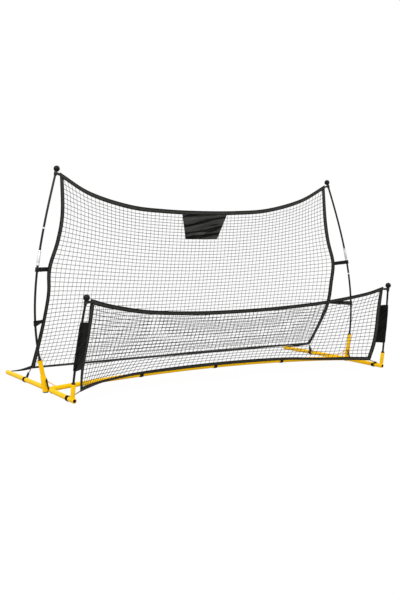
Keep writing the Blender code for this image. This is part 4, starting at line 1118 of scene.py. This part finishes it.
# %% [markdown]
# ## Weld beads
# A weld between tubes leaves a rippled bead along the line where they meet. Each line comes from the
# geometry of two crossing tubes: for a point round one tube, its distance from the other's axis says
# how far along it lies. The rippled beads are strewn along the lines and stay under the powder coat.

# %% Weld lines
def stub_weld():
    """Where the cross stub, as thick as the rail, meets the rail."""
    turn = np.linspace(0.0, math.tau, 60)
    lift = TUBE_R * 1.04
    across = lift * np.sin(turn)
    return np.stack([HALF - np.abs(across), across, HUB_Z + lift * np.cos(turn)], axis=1)


def sleeve_weld():
    """Where the leaning sleeve meets the rail: down one side of it and up the other."""
    turn = np.radians(np.linspace(-58.0, 62.0, 30))
    x = HALF + TUBE_R * np.cos(turn)
    z = HUB_Z + TUBE_R * np.sin(turn)
    off = HALF + SLEEVE_OUT + SLEEVE_LEAN * (z - HUB_LIFT) - x
    reach = np.sqrt(np.maximum(0.0, SLEEVE_R ** 2 - off ** 2))
    sides = [np.stack([x, SLEEVE_BACK + sign * reach, z], axis=1) for sign in (1, -1)]
    return np.concatenate([sides[0], sides[1][::-1], sides[0][:1]])


def post_weld():
    """Where the low pole's post meets the front rail."""
    turn = np.linspace(0.0, math.tau, 60)
    off = np.minimum(POST_FOOT[0] - HALF + POST_R * np.cos(turn), TUBE_R)
    z = rail_point(POST_FOOT[1])[2] + np.sqrt(TUBE_R ** 2 - off ** 2)
    y = POST_FOOT[1] - POST_LEAN * (z - TUBE_R) + POST_R * np.sin(turn)
    return np.stack([POST_FOOT[0] + POST_R * np.cos(turn), y, z], axis=1)


welds = (stub_weld(), sleeve_weld(), post_weld())
weld_lines = [line * (side, 1, 1) for line in welds for side in SIDES.values()]
RIPPLE = {"Step": 0.0013, "Size": (0.0012, 0.0017, 0.0017), "Material": POWDER}
grown("weld_beads", weld_lines, ROW, RIPPLE)

# %% [markdown]
# ## The two nets
# Knotted netting isn't a perfect lattice: knots slip by half a millimetre or so, and slack cord
# between them sags. Each row and column is one line through its knots, nudged by seeded noise, and
# its ends run under the hems.

# %% Strands and knots
KNOT_SLIP = 0.0005
CORD_SLACK = 0.0004
CORD_SAG = 0.0006
UNDER_HEM = 0.003


def strands(knots, seed, under_foot):
    """Rows with a sagging point between knots, and columns, all with ends under the hems."""
    noise = np.random.default_rng(seed)
    knots = knots.copy()
    knots[1:-1, 1:-1] += noise.normal(0.0, KNOT_SLIP, knots[1:-1, 1:-1].shape)
    rows = []
    for j in range(1, knots.shape[1] - 1):
        row = knots[:, j]
        line = np.empty((2 * len(row) - 1, 3))
        line[::2] = row
        line[1::2] = (row[:-1] + row[1:]) / 2 + noise.normal(0.0, CORD_SLACK, (len(row) - 1, 3))
        line[1::2, 2] -= CORD_SAG
        rows.append(line)
    columns = [knots[i] for i in range(1, knots.shape[0] - 1)]
    for lines, start in ((rows, UNDER_HEM), (columns, under_foot)):
        for line in lines:
            line[-1] = line[-1] + UNDER_HEM * unit(line[-1] - line[-2])
            line[0] = line[0] + start * unit(line[0] - line[1])
    return rows, columns, knots[1:-1, 1:-1].reshape(-1, 3)


# For each net: its knots, its seed, how far its columns reach under the foot hem, cord and knot radius
NETS = {"tall": (TALL_KNOTS, 7, 0.011, 0.0014, 0.0024), "low": (LOW_KNOTS, 11, UNDER_HEM, 0.0016, 0.0027)}
COLUMN_SHARE = 0.75
for kind, (knots, seed, under_foot, cord_r, knot_r) in NETS.items():
    rows, columns, crossings = strands(knots, seed, under_foot)
    cord = {"Radius": cord_r, "Sides": 5, "Material": TWINE}
    grown(kind + "_net_rows", rows, CORD, cord, [kind + "_net"])
    cord["Radius"] = cord_r * COLUMN_SHARE
    grown(kind + "_net_columns", columns, CORD, cord)
    knot = {"Size": knot_r, "Seed": seed, "Material": TWINE}
    grown(kind + "_net_knots", [[point] for point in crossings], BEADS, knot)

# %% [markdown]
# ## Hems
# Every edge of a net is folded into webbing and sewn with two rows of stitches. The netting inside
# shows as slanting ribs along the hem's middle. So the band is a soft lens in section, lifted by ribs
# of 11 mm pitch that fade out towards both seams. The tall net's foot hem is rolled narrower than the
# others, so its side hems reach down to it.

# %% Hem webbing
STITCH_AT = 0.72
STITCH = {"Step": 0.0062, "Size": (0.0021, 0.0006, 0.0006), "Material": THREADS}
STITCH_LIFT = 0.0013
ROLLED = 0.6
RIB_RISE = 0.00035
HEM_STEP = 0.006


def ribbed(run, places):
    """How far the hem's face stands up: slanting ribs that fade out towards the seams."""
    slant = np.sin(math.tau * (run[:, None] + places[None] * WEBBING / 2) / HEM_RIB_PITCH)
    middle = np.exp(-(places / 0.5) ** 4)
    return RIB_RISE * slant * middle[None]


def dense(edges):
    """Both edges of a hem with points close enough to show the ribs."""
    count = int(run_of(edges[0])[-1] / HEM_STEP)
    return [smooth_line(edge, count) for edge in edges]


def down_to_roll(line):
    """A side hem's edge, carried on down to the rolled foot hem."""
    return np.concatenate([[line[0] + unit(line[0] - line[1]) * (1 - ROLLED) * WEBBING], line])


for kind, hems in (("tall", TALL_HEMS), ("low", LOW_HEMS)):
    seams = []
    for edge, lines in hems.items():
        outer, inner = dense(lines)
        if kind == "tall" and edge == "bottom":
            inner = outer + ROLLED * (inner - outer)
        elif kind == "tall" and edge != "top":
            outer, inner = [down_to_roll(line) for line in (outer, inner)]
        for place in (-STITCH_AT, STITCH_AT):
            middle = (outer + inner) / 2 + place * (inner - outer) / 2
            normal = unit(np.cross(np.gradient(middle, axis=0), inner - outer))
            seams += [middle + normal * STITCH_LIFT, middle - normal * STITCH_LIFT]
        if edge != "top":
            name = kind + "_hem_" + edge
            piece("folded_" + name, [band(outer, inner, WEBBING_THICK, ribbed)], HEM_WEB, [name])
    grown(kind + "_hem_stitches", seams, ROW, STITCH)

# %% [markdown]
# ## Straps
# A strap goes round a pole or rail and back to where it is sewn. Its path at one height is two
# straight runs and an arc: from the tip to the tangent of the bar, round the far side, and back. A
# strap is made by lofting that path over its width. A pole's strap starts from the net's edge hem,
# so its tips follow that hem from height to height.

# %% Loops round a bar
ARC_STEPS = 22
TUCK = 0.0008


def loop_path(centre, tip, along, radius, merge):
    """From the tip round a bar and back; the two runs lie together for the merge share of the way."""
    reach = np.array(tip, float) - centre
    flat = reach - along * reach.dot(along)
    distance = np.linalg.norm(flat)
    out = flat / distance
    sideways = np.cross(along, out)
    tangent = math.acos(min(0.95, radius / distance))
    angles = np.linspace(tangent, math.tau - tangent, ARC_STEPS)
    arc = [centre + radius * (math.cos(a) * out + math.sin(a) * sideways) for a in angles]
    gap = sideways * STRAP_THICK * 0.52
    tip = np.array(tip, float)
    neck = tip + (centre - tip) * merge
    runs = []
    for shift, end in ((gap, arc[0]), (-gap, arc[-1])):
        run = [tip + shift + (neck - tip) * t for t in np.linspace(0, 1, 6)[:-1]] if merge else []
        runs.append(run + [neck + shift + (end - neck - shift) * t for t in np.linspace(0, 1, 7)[:-1]])
    return np.array(runs[0] + arc + runs[1][::-1])


def looped(levels, bar_radius, thickness=STRAP_THICK, slack=0.0, lift=None, merge=0.0):
    """Webbing round a bar; each level is the bar's centre and the tip of the strap there."""
    centres = [np.array(centre, float) for centre, _ in levels]
    along = unit(centres[-1] - centres[0])
    radius = bar_radius + FIT + thickness / 2 + slack
    paths = np.array([loop_path(c, tip, along, radius, merge) for c, (_, tip) in zip(centres, levels)])
    width = np.linalg.norm(centres[-1] - centres[0])
    places, share = lens(width, thickness)
    given = np.linspace(-1, 1, len(levels))
    grid = np.empty((paths.shape[1], len(places), 3))
    for station in range(paths.shape[1]):
        for axis in range(3):
            grid[station, :, axis] = np.interp(places, given, paths[:, station, axis])
    raised = lift(run_of(grid[:, len(places) // 2]), places) if lift else None
    return slab(grid, share * thickness / 2, raised)


def at_height(line, z):
    """Where a line passes a height."""
    order = np.argsort(line[:, 2])
    return np.array([np.interp(z, line[order][:, 2], line[order][:, axis]) for axis in (0, 1)] + [z])


def round_pole(route, edge, heights, tip_heights, side, tuck=TUCK):
    """Levels of webbing from an edge round a pole; its tips lie a tuck inside that edge."""
    levels = []
    for height, tip_height in zip(heights, tip_heights):
        centre = np.array(route(height))
        tip = at_height(edge, tip_height)
        tip = tip - tuck * unit(centre - tip)
        levels.append((mirrored(centre, side), mirrored(tip, side)))
    return levels


def strap(name, parts):
    """A webbing piece in place of the CAD node of that name."""
    piece("webbing_" + name, parts, STRAP_WEB, [name])


# %% Top hems with their cap loops
LOOP_STEPS = np.array((-0.0055, 0.0, 0.0055))
LOOP_BELOW_TIP = 0.023
for kind, hems, seam, route, tip_z in (("tall", TALL_HEMS, TALL_SEAM, tall_point, TALL_TIP[2]),
                                       ("low", LOW_HEMS, LOW_SEAM, low_point, LOW_TIP[2])):
    outer, inner = dense(hems["top"])
    parts = [band(outer, inner, WEBBING_THICK, ribbed)]
    heights = tip_z - LOOP_BELOW_TIP + LOOP_STEPS
    tip_heights = seam[-1][2] - WEBBING / 2 + LOOP_STEPS
    for side in SIDES.values():
        parts.append(looped(round_pole(route, seam, heights, tip_heights, side, 0.0), CAP_NECK_R))
    piece("folded_" + kind + "_hem_top", parts, HEM_WEB, [kind + "_hem_top"])

# %% Pole straps with studs
# Width, taper, and for each side the height on the pole and the rise towards the net
POLE_STRAPS = {"upper": (0.023, 1.0, {"left": (0.650, -0.001), "right": (0.660, -0.010)}),
               "lower": (0.027, 0.66, {"left": (0.368, -0.004), "right": (0.384, 0.000)})}
STRAP_SLACK = 0.0008
STUD_SHARE = 0.30
STUD_FRONT = (0.0, -0.0055, 0.0)
CLIP_ROWS = [(-0.0118, 0.0096), (-0.0110, 0.0106), (-0.0090, 0.0112), (0.0, 0.0112), (0.0090, 0.0112),
             (0.0110, 0.0106), (0.0118, 0.0096)]
edge_line = TALL_HEMS["right"][0]
stud_profile = [(0.0, 0.0042), (0.0052, 0.0042), (0.0090, 0.0034), (0.0104, 0.0020), (0.0122, 0.0014),
                (0.0126, 0.0), (0.0122, -0.0014), (0.0, -0.0014)]
for word, side in SIDES.items():
    for height_word, (width, taper, places) in POLE_STRAPS.items():
        z, rise = places[word]
        heights = np.linspace(z - width / 2, z + width / 2, 5)
        levels = round_pole(tall_point, edge_line, heights, z + rise + (heights - z) * taper, side)
        strap(height_word + "_pole_strap_" + word, [looped(levels, POLE_R, slack=STRAP_SLACK)])
    z, rise = POLE_STRAPS["upper"][2][word]
    centre = np.array(tall_point(z))
    tip = at_height(edge_line, z + rise)
    place = mirrored(centre + STUD_SHARE * (tip - centre), side) + np.array(STUD_FRONT)
    stud = turned(stud_profile, place, (0.0, -1.0, 0.12))
    clip = fitted(tall_point, CLIP_ROWS, side, POLE_R + FIT, z)
    piece("strap_stud_" + word, [stud, clip], POLYPROPYLENE)

# %% [markdown]
# ## Buckles
# The tall net's foot corners are drawn tight through a small ladder buckle: a moulded frame with two
# rungs, which the strap passes through. The frame and the low net's hooks are one round bar each, bent
# to a rounded rectangle.

# %% A bar bent to a rectangle
def loop_bar(centre, long_way, short_way, length, width, radius):
    """A round bar bent to a closed rectangle with rounded corners."""
    corners = []
    bend = 0.003
    for sx, sy, start in ((1, 1, 0), (-1, 1, 90), (-1, -1, 180), (1, -1, 270)):
        for turn in np.radians(np.linspace(start, start + 90, 5)):
            x = sx * (length / 2 - bend) + bend * math.cos(turn)
            y = sy * (width / 2 - bend) + bend * math.sin(turn)
            corners.append(centre + long_way * x + short_way * y)
    path = np.array(corners)
    closed = np.concatenate([path[-1:], path, path[:1]])
    return skin(rings(closed, radius, 12)[1:-1], ring=True)


# %% Straps at the nets' foot corners
CORNER_Y = 0.355
LOW_RING_Y = -0.262
RING_WIDTH = 0.026
RING_THICK = 0.0026
BUCKLE_SHARE = 0.42
BUCKLE_SLOT = 0.017
HOOK_Y = -0.290
HOOK_OFF = (-0.010, 0.0, 0.0185)
HOOK_SLOT = 0.008
ELASTIC_R = 0.0012
ELASTIC_HALF_GAP = 0.0016
tall_corner, low_corner = np.array(TALL_SIDE[0]), np.array(LOW_SIDE[0])


def beside(point, off, side):
    """A point on one side, moved by an offset that is mirrored with it."""
    return mirrored(point, side) + mirrored(off, side)


def buckle_place(side):
    """The buckle's middle, on the way from the rail to the tall net's corner."""
    bar = mirrored(rail_point(CORNER_Y), side)
    return bar + BUCKLE_SHARE * (beside(tall_corner, (-0.006, 0.004, 0.0), side) - bar)


def round_rail(rail_y, tip, tip_width, side):
    """Levels of webbing round a rail, which narrows from the ring's width to that of its tip."""
    levels = []
    for step in (-0.5, -0.25, 0.0, 0.25, 0.5):
        centre = mirrored(rail_point(rail_y + step * RING_WIDTH), side)
        levels.append((centre, tip + BACK * step * tip_width))
    return levels


for word, side in SIDES.items():
    middle = buckle_place(side)
    corner = beside(tall_corner, (-0.006, 0.004, -WEBBING_THICK / 2 - FIT), side)
    share = np.linspace(0.0, 1.0, 12)[:, None]
    line = middle + (corner - middle) * share
    half = BACK * (0.0060 - 0.0022 * share)
    ring = looped(round_rail(CORNER_Y, middle, BUCKLE_SLOT, side), TUBE_R, RING_THICK, merge=0.45)
    strap("corner_strap_" + word, [ring, band(line - half, line + half, STRAP_THICK)])
    hook = beside(rail_point(HOOK_Y), HOOK_OFF, side)
    corner = beside(low_corner, (0.0, 0.004, 0.003), side)
    parts = [looped(round_rail(LOW_RING_Y, hook, HOOK_SLOT, side), TUBE_R, RING_THICK, merge=0.3)]
    for drop in (-ELASTIC_HALF_GAP, ELASTIC_HALF_GAP):
        cord = [hook + UP * drop, (hook * 2 + corner) / 3 + UP * (drop * 1.4 - 0.001),
                (hook + corner * 2) / 3 + UP * (drop * 1.2 - 0.001), corner + UP * drop]
        parts.append(tube(smooth_line(cord, 12), ELASTIC_R, 8))
    strap("low_corner_strap_" + word, parts)
    eye = loop_bar(hook, unit(corner - hook), BACK, 0.014, 0.012, 0.0017)
    piece("elastic_hook_" + word, [eye], POLYPROPYLENE)

# %% Ties to the rails' rear ends
TIE_Y = 0.612
TIE_OFF = (-0.0073, 0.0, 0.0121)
TIE_SAG = 0.004
TIE_TWIST = 0.35
rivet_profile = [(0.0, 0.0018), (0.0022, 0.0016), (0.0034, 0.0008), (0.0038, -0.0012), (0.0, -0.0012)]
share = np.linspace(0.0, 1.0, 40)[:, None]
width = 0.0030 + 0.0070 * (1 - share) ** 1.3
turn = share * TIE_TWIST
for word, side in SIDES.items():
    hole = beside(rail_point(TIE_Y), TIE_OFF, side)
    tip = beside(tall_corner, (-0.004, 0.004, 0.006), side)
    line = tip + (hole - tip) * share - UP * TIE_SAG * np.sin(math.pi * share)
    outward = np.cos(turn) * UP + np.sin(turn) * np.array((-1.0 * side, 0.0, 0.0))
    tie = band(line - outward * width, line + outward * width, STRAP_THICK)
    strap("corner_tie_" + word, [tie, turned(rivet_profile, hole, (-0.5 * side, 0.0, 0.86), 20)])

# %% Bands that hold the low net's foot
BAND_PLACES = {"left": -0.5, "middle": 0.0, "right": 0.5}
BAND_SHARES = ((-0.011, 0.4), (-0.0106, 0.9), (-0.006, 1.0), (0.0, 1.0), (0.006, 1.0), (0.0106, 0.9),
               (0.011, 0.4))
inner = TUBE_R + FIT
rows = [(step, inner + STRAP_THICK * share) for step, share in BAND_SHARES]
for word, x in BAND_PLACES.items():
    strap("hem_strap_" + word, [fitted(cross_point, rows, 1, inner, x)])

# %% Ladder buckles
BUCKLE_LENGTH = 0.023
BUCKLE_WIDTH = 0.022
BUCKLE_R = 0.0022
RUNG_R = 0.0018
RUNG_OFF = 0.0035
for word, side in SIDES.items():
    middle = buckle_place(side)
    up = unit(mirrored(tall_corner, side) - middle)
    back = unit(BACK - up * up[1])
    parts = [loop_bar(middle, back, up, BUCKLE_LENGTH, BUCKLE_WIDTH, BUCKLE_R)]
    for shift in (-RUNG_OFF, RUNG_OFF):
        ends = [middle + up * shift + back * reach for reach in (-BUCKLE_LENGTH / 2, BUCKLE_LENGTH / 2)]
        parts.append(tube(ends, RUNG_R, 12))
    piece("ladder_buckle_" + word, parts, POLYPROPYLENE)

# %% [markdown]
# ## Target patch and pole sleeves
# The patch is a nylon trapezoid sewn in front of the net under its top hem, and creased from lying
# folded. The sleeves wrap the low poles and are sewn to the side hems. A crease in coated nylon is a
# narrow ridge that dies out at both ends, so each is drawn as one and the cloth is lifted along it.
# That is steadier than a simulation here, because both cloths are held on every side.

# %% Creases
def creases(u, v, ridges):
    """Height of several soft ridges over a sheet; each has a place, slant, width, length and rise."""
    height = np.zeros_like(u)
    for u0, v0, slant, width, length, rise in ridges:
        along = (u - u0) * math.cos(slant) + (v - v0) * math.sin(slant)
        off = -(u - u0) * math.sin(slant) + (v - v0) * math.cos(slant)
        height += rise * np.exp(-(off / width) ** 2 - (along / length) ** 2)
    return height


def random_ridges(noise, count, limits):
    """Ridges for creases(), each of its numbers drawn between its limits."""
    return [[noise.uniform(low, high) for low, high in limits] for _ in range(count)]


# %% Patch
# Left end, right end and height of its top and foot edges
PATCH_TOP = (-0.140, 0.180, 0.9590)
PATCH_FOOT = (-0.104, 0.122, 0.810)
PATCH_OFF = NET_THICK / 2 + FIT + CLOTH_THICK / 2 + 0.0008
PATCH_RIDGES = ((-0.95, 0.95), (-0.8, 0.8), (0.45, 0.75), (0.06, 0.13), (0.35, 0.9), (0.002, 0.006))
SEARCH_STEP = 0.002
columns, rows = 64, 32
across, up = TALL_KNOTS.shape[:2]
squares = [(i * up + j, (i + 1) * up + j, (i + 1) * up + j + 1, i * up + j + 1)
           for i in range(across - 1) for j in range(up - 1)]
surface = BVHTree.FromPolygons([Vector(p) for p in TALL_KNOTS.reshape(-1, 3)], squares)
grid = np.zeros((columns + 1, rows + 1, 3))
for i in range(columns + 1):
    for j in range(rows + 1):
        left, right, z = (1 - j / rows) * np.array(PATCH_FOOT) + j / rows * np.array(PATCH_TOP)
        x = left + (right - left) * i / columns
        # Where the ray passes over the net, the net's place just below is used
        hit, above = None, 0.0
        while hit is None:
            hit, normal, _, _ = surface.ray_cast(Vector((x, -HALF, z - above)), Vector(BACK))
            above += SEARCH_STEP
        toward = -normal if normal.y > 0 else normal
        grid[i, j] = hit + toward * PATCH_OFF + Vector((0.0, 0.0, above - SEARCH_STEP))
for _ in range(12):
    grid[1:-1, 1:-1] = between(grid)
u, v = np.meshgrid(np.linspace(-1, 1, columns + 1), np.linspace(-1, 1, rows + 1), indexing="ij")
ridges = random_ridges(np.random.default_rng(3), 20, PATCH_RIDGES)
lift = -creases(u, v, ridges) * (1 - u ** 8) * (1 - v ** 8)
normals_back = np.cross(grid[1, 0] - grid[0, 0], grid[0, 1] - grid[0, 0])[1] > 0
lift = lift if normals_back else -lift
rim = 1 + 0.5 * np.maximum(np.abs(u) > 0.94, np.abs(v) > 0.90)
half = CLOTH_THICK / 2 * rim
half[:, 0] = half[:, -1] = 0.0
patch = piece("creased_target_patch", [slab(grid, half, lift)], PATCH_CLOTH, ["target_patch"])

# %% Pole sleeves
SLEEVE_RIDGES = ((0.05, 0.95), (-0.9, 0.9), (0.9, 1.3), (0.03, 0.07), (0.2, 0.6), (0.0008, 0.0022))
SLEEVE_SLACK = 0.0015
noise = np.random.default_rng(5)


def sleeve_folds(run, places):
    u, v = np.meshgrid(run / run[-1], places, indexing="ij")
    height = creases(u, v, random_ridges(noise, 12, SLEEVE_RIDGES))
    return height * (1 - places ** 6)[None] * (np.sin(math.pi * u) ** 0.5)


heights = np.linspace(0.165, 0.405, 13)
for word, side in SIDES.items():
    levels = round_pole(low_point, LOW_HEMS["right"][0], heights, heights, side)
    cloth = looped(levels, POLE_R, CLOTH_THICK, SLEEVE_SLACK, sleeve_folds)
    panel = piece("wrapped_sleeve_" + word, [cloth], SLEEVE_CLOTH, ["sleeve_panel_" + word])

# %% [markdown]
# ## Floor and light
# The photograph is a cut-out on pure white, with hardly a shadow. A sheet of white acrylic that is lit
# from behind looks just so: it is as bright as the white sky, so thin cords stand out against both, and
# nothing burns out around them. Its light isn't let onto the object, or tubes would have no dark side.
# For the same reason the sky that lights the object fades from overhead to the horizon, and only the
# part that is seen directly is plain white. Two soft lamps model the tubes, from the upper left, where
# the photograph is brightest, and weakly from the right.

# %% Floor
ACRYLIC = clouded("backlit_white_acrylic", 3.0, 2.0, ("#383838", "#323232"), Roughness=0.9,
                  Specular_IOR_Level=0.0, Emission_Color=linear("#FFFFFF"), Emission_Strength=0.955)[0]
floor_mesh = bpy.data.meshes.new("floor")
FLOOR = 60.0
floor_corners = [(x * FLOOR, y * FLOOR, 0) for x, y in ((-1, -1), (1, -1), (1, 1), (-1, 1))]
floor_mesh.from_pydata(floor_corners, [], [(0, 1, 2, 3)])
floor_mesh.materials.append(ACRYLIC)
floor = bpy.data.objects.new("floor", floor_mesh)
floor.visible_diffuse = False
floor.visible_glossy = False
scene.collection.objects.link(floor)
floor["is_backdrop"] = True

# %% Light
world = bpy.data.worlds.new("white_studio")
world.use_nodes = True
sky = world.node_tree.nodes["Background"]
way = add(world.node_tree, "ShaderNodeTexCoord").outputs["Generated"]
height = add(world.node_tree, "ShaderNodeSeparateXYZ", {0: way}).outputs[2]
glow = add(world.node_tree, "ShaderNodeMapRange", {"Value": height, 1: -0.1, 2: 0.8, 3: 0.58, 4: 1.45})
seen = add(world.node_tree, "ShaderNodeLightPath").outputs["Is Camera Ray"]
power = add(world.node_tree, "ShaderNodeMix", {0: seen, 2: glow.outputs[0], 3: 1.0}, data_type="FLOAT")
wire(world.node_tree, sky, {"Color": (1.0, 1.0, 1.0, 1.0), "Strength": power.outputs[0]})
scene.world = world
scene.view_settings.view_transform = "Standard"


def soft_lamp(name, place, target, size, power):
    lamp = bpy.data.lights.new(name, "AREA")
    lamp.shape = "DISK"
    lamp.size = size
    lamp.energy = power
    obj = bpy.data.objects.new(name, lamp)
    scene.collection.objects.link(obj)
    obj.location = place
    obj.rotation_euler = (Vector(target) - Vector(place)).to_track_quat("-Z", "Y").to_euler()


soft_lamp("key_lamp", (-3.5, -3.0, 4.0), (0.0, 0.0, 0.3), 2.0, 95.0)
soft_lamp("fill_lamp", (4.0, -1.5, 3.0), (0.0, 0.0, 0.3), 2.5, 15.0)

# %% Sizes, and the end
size = {"cad": CAD_BOX, "visual": [list(corner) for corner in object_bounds()]}
print("visual box", size["visual"])
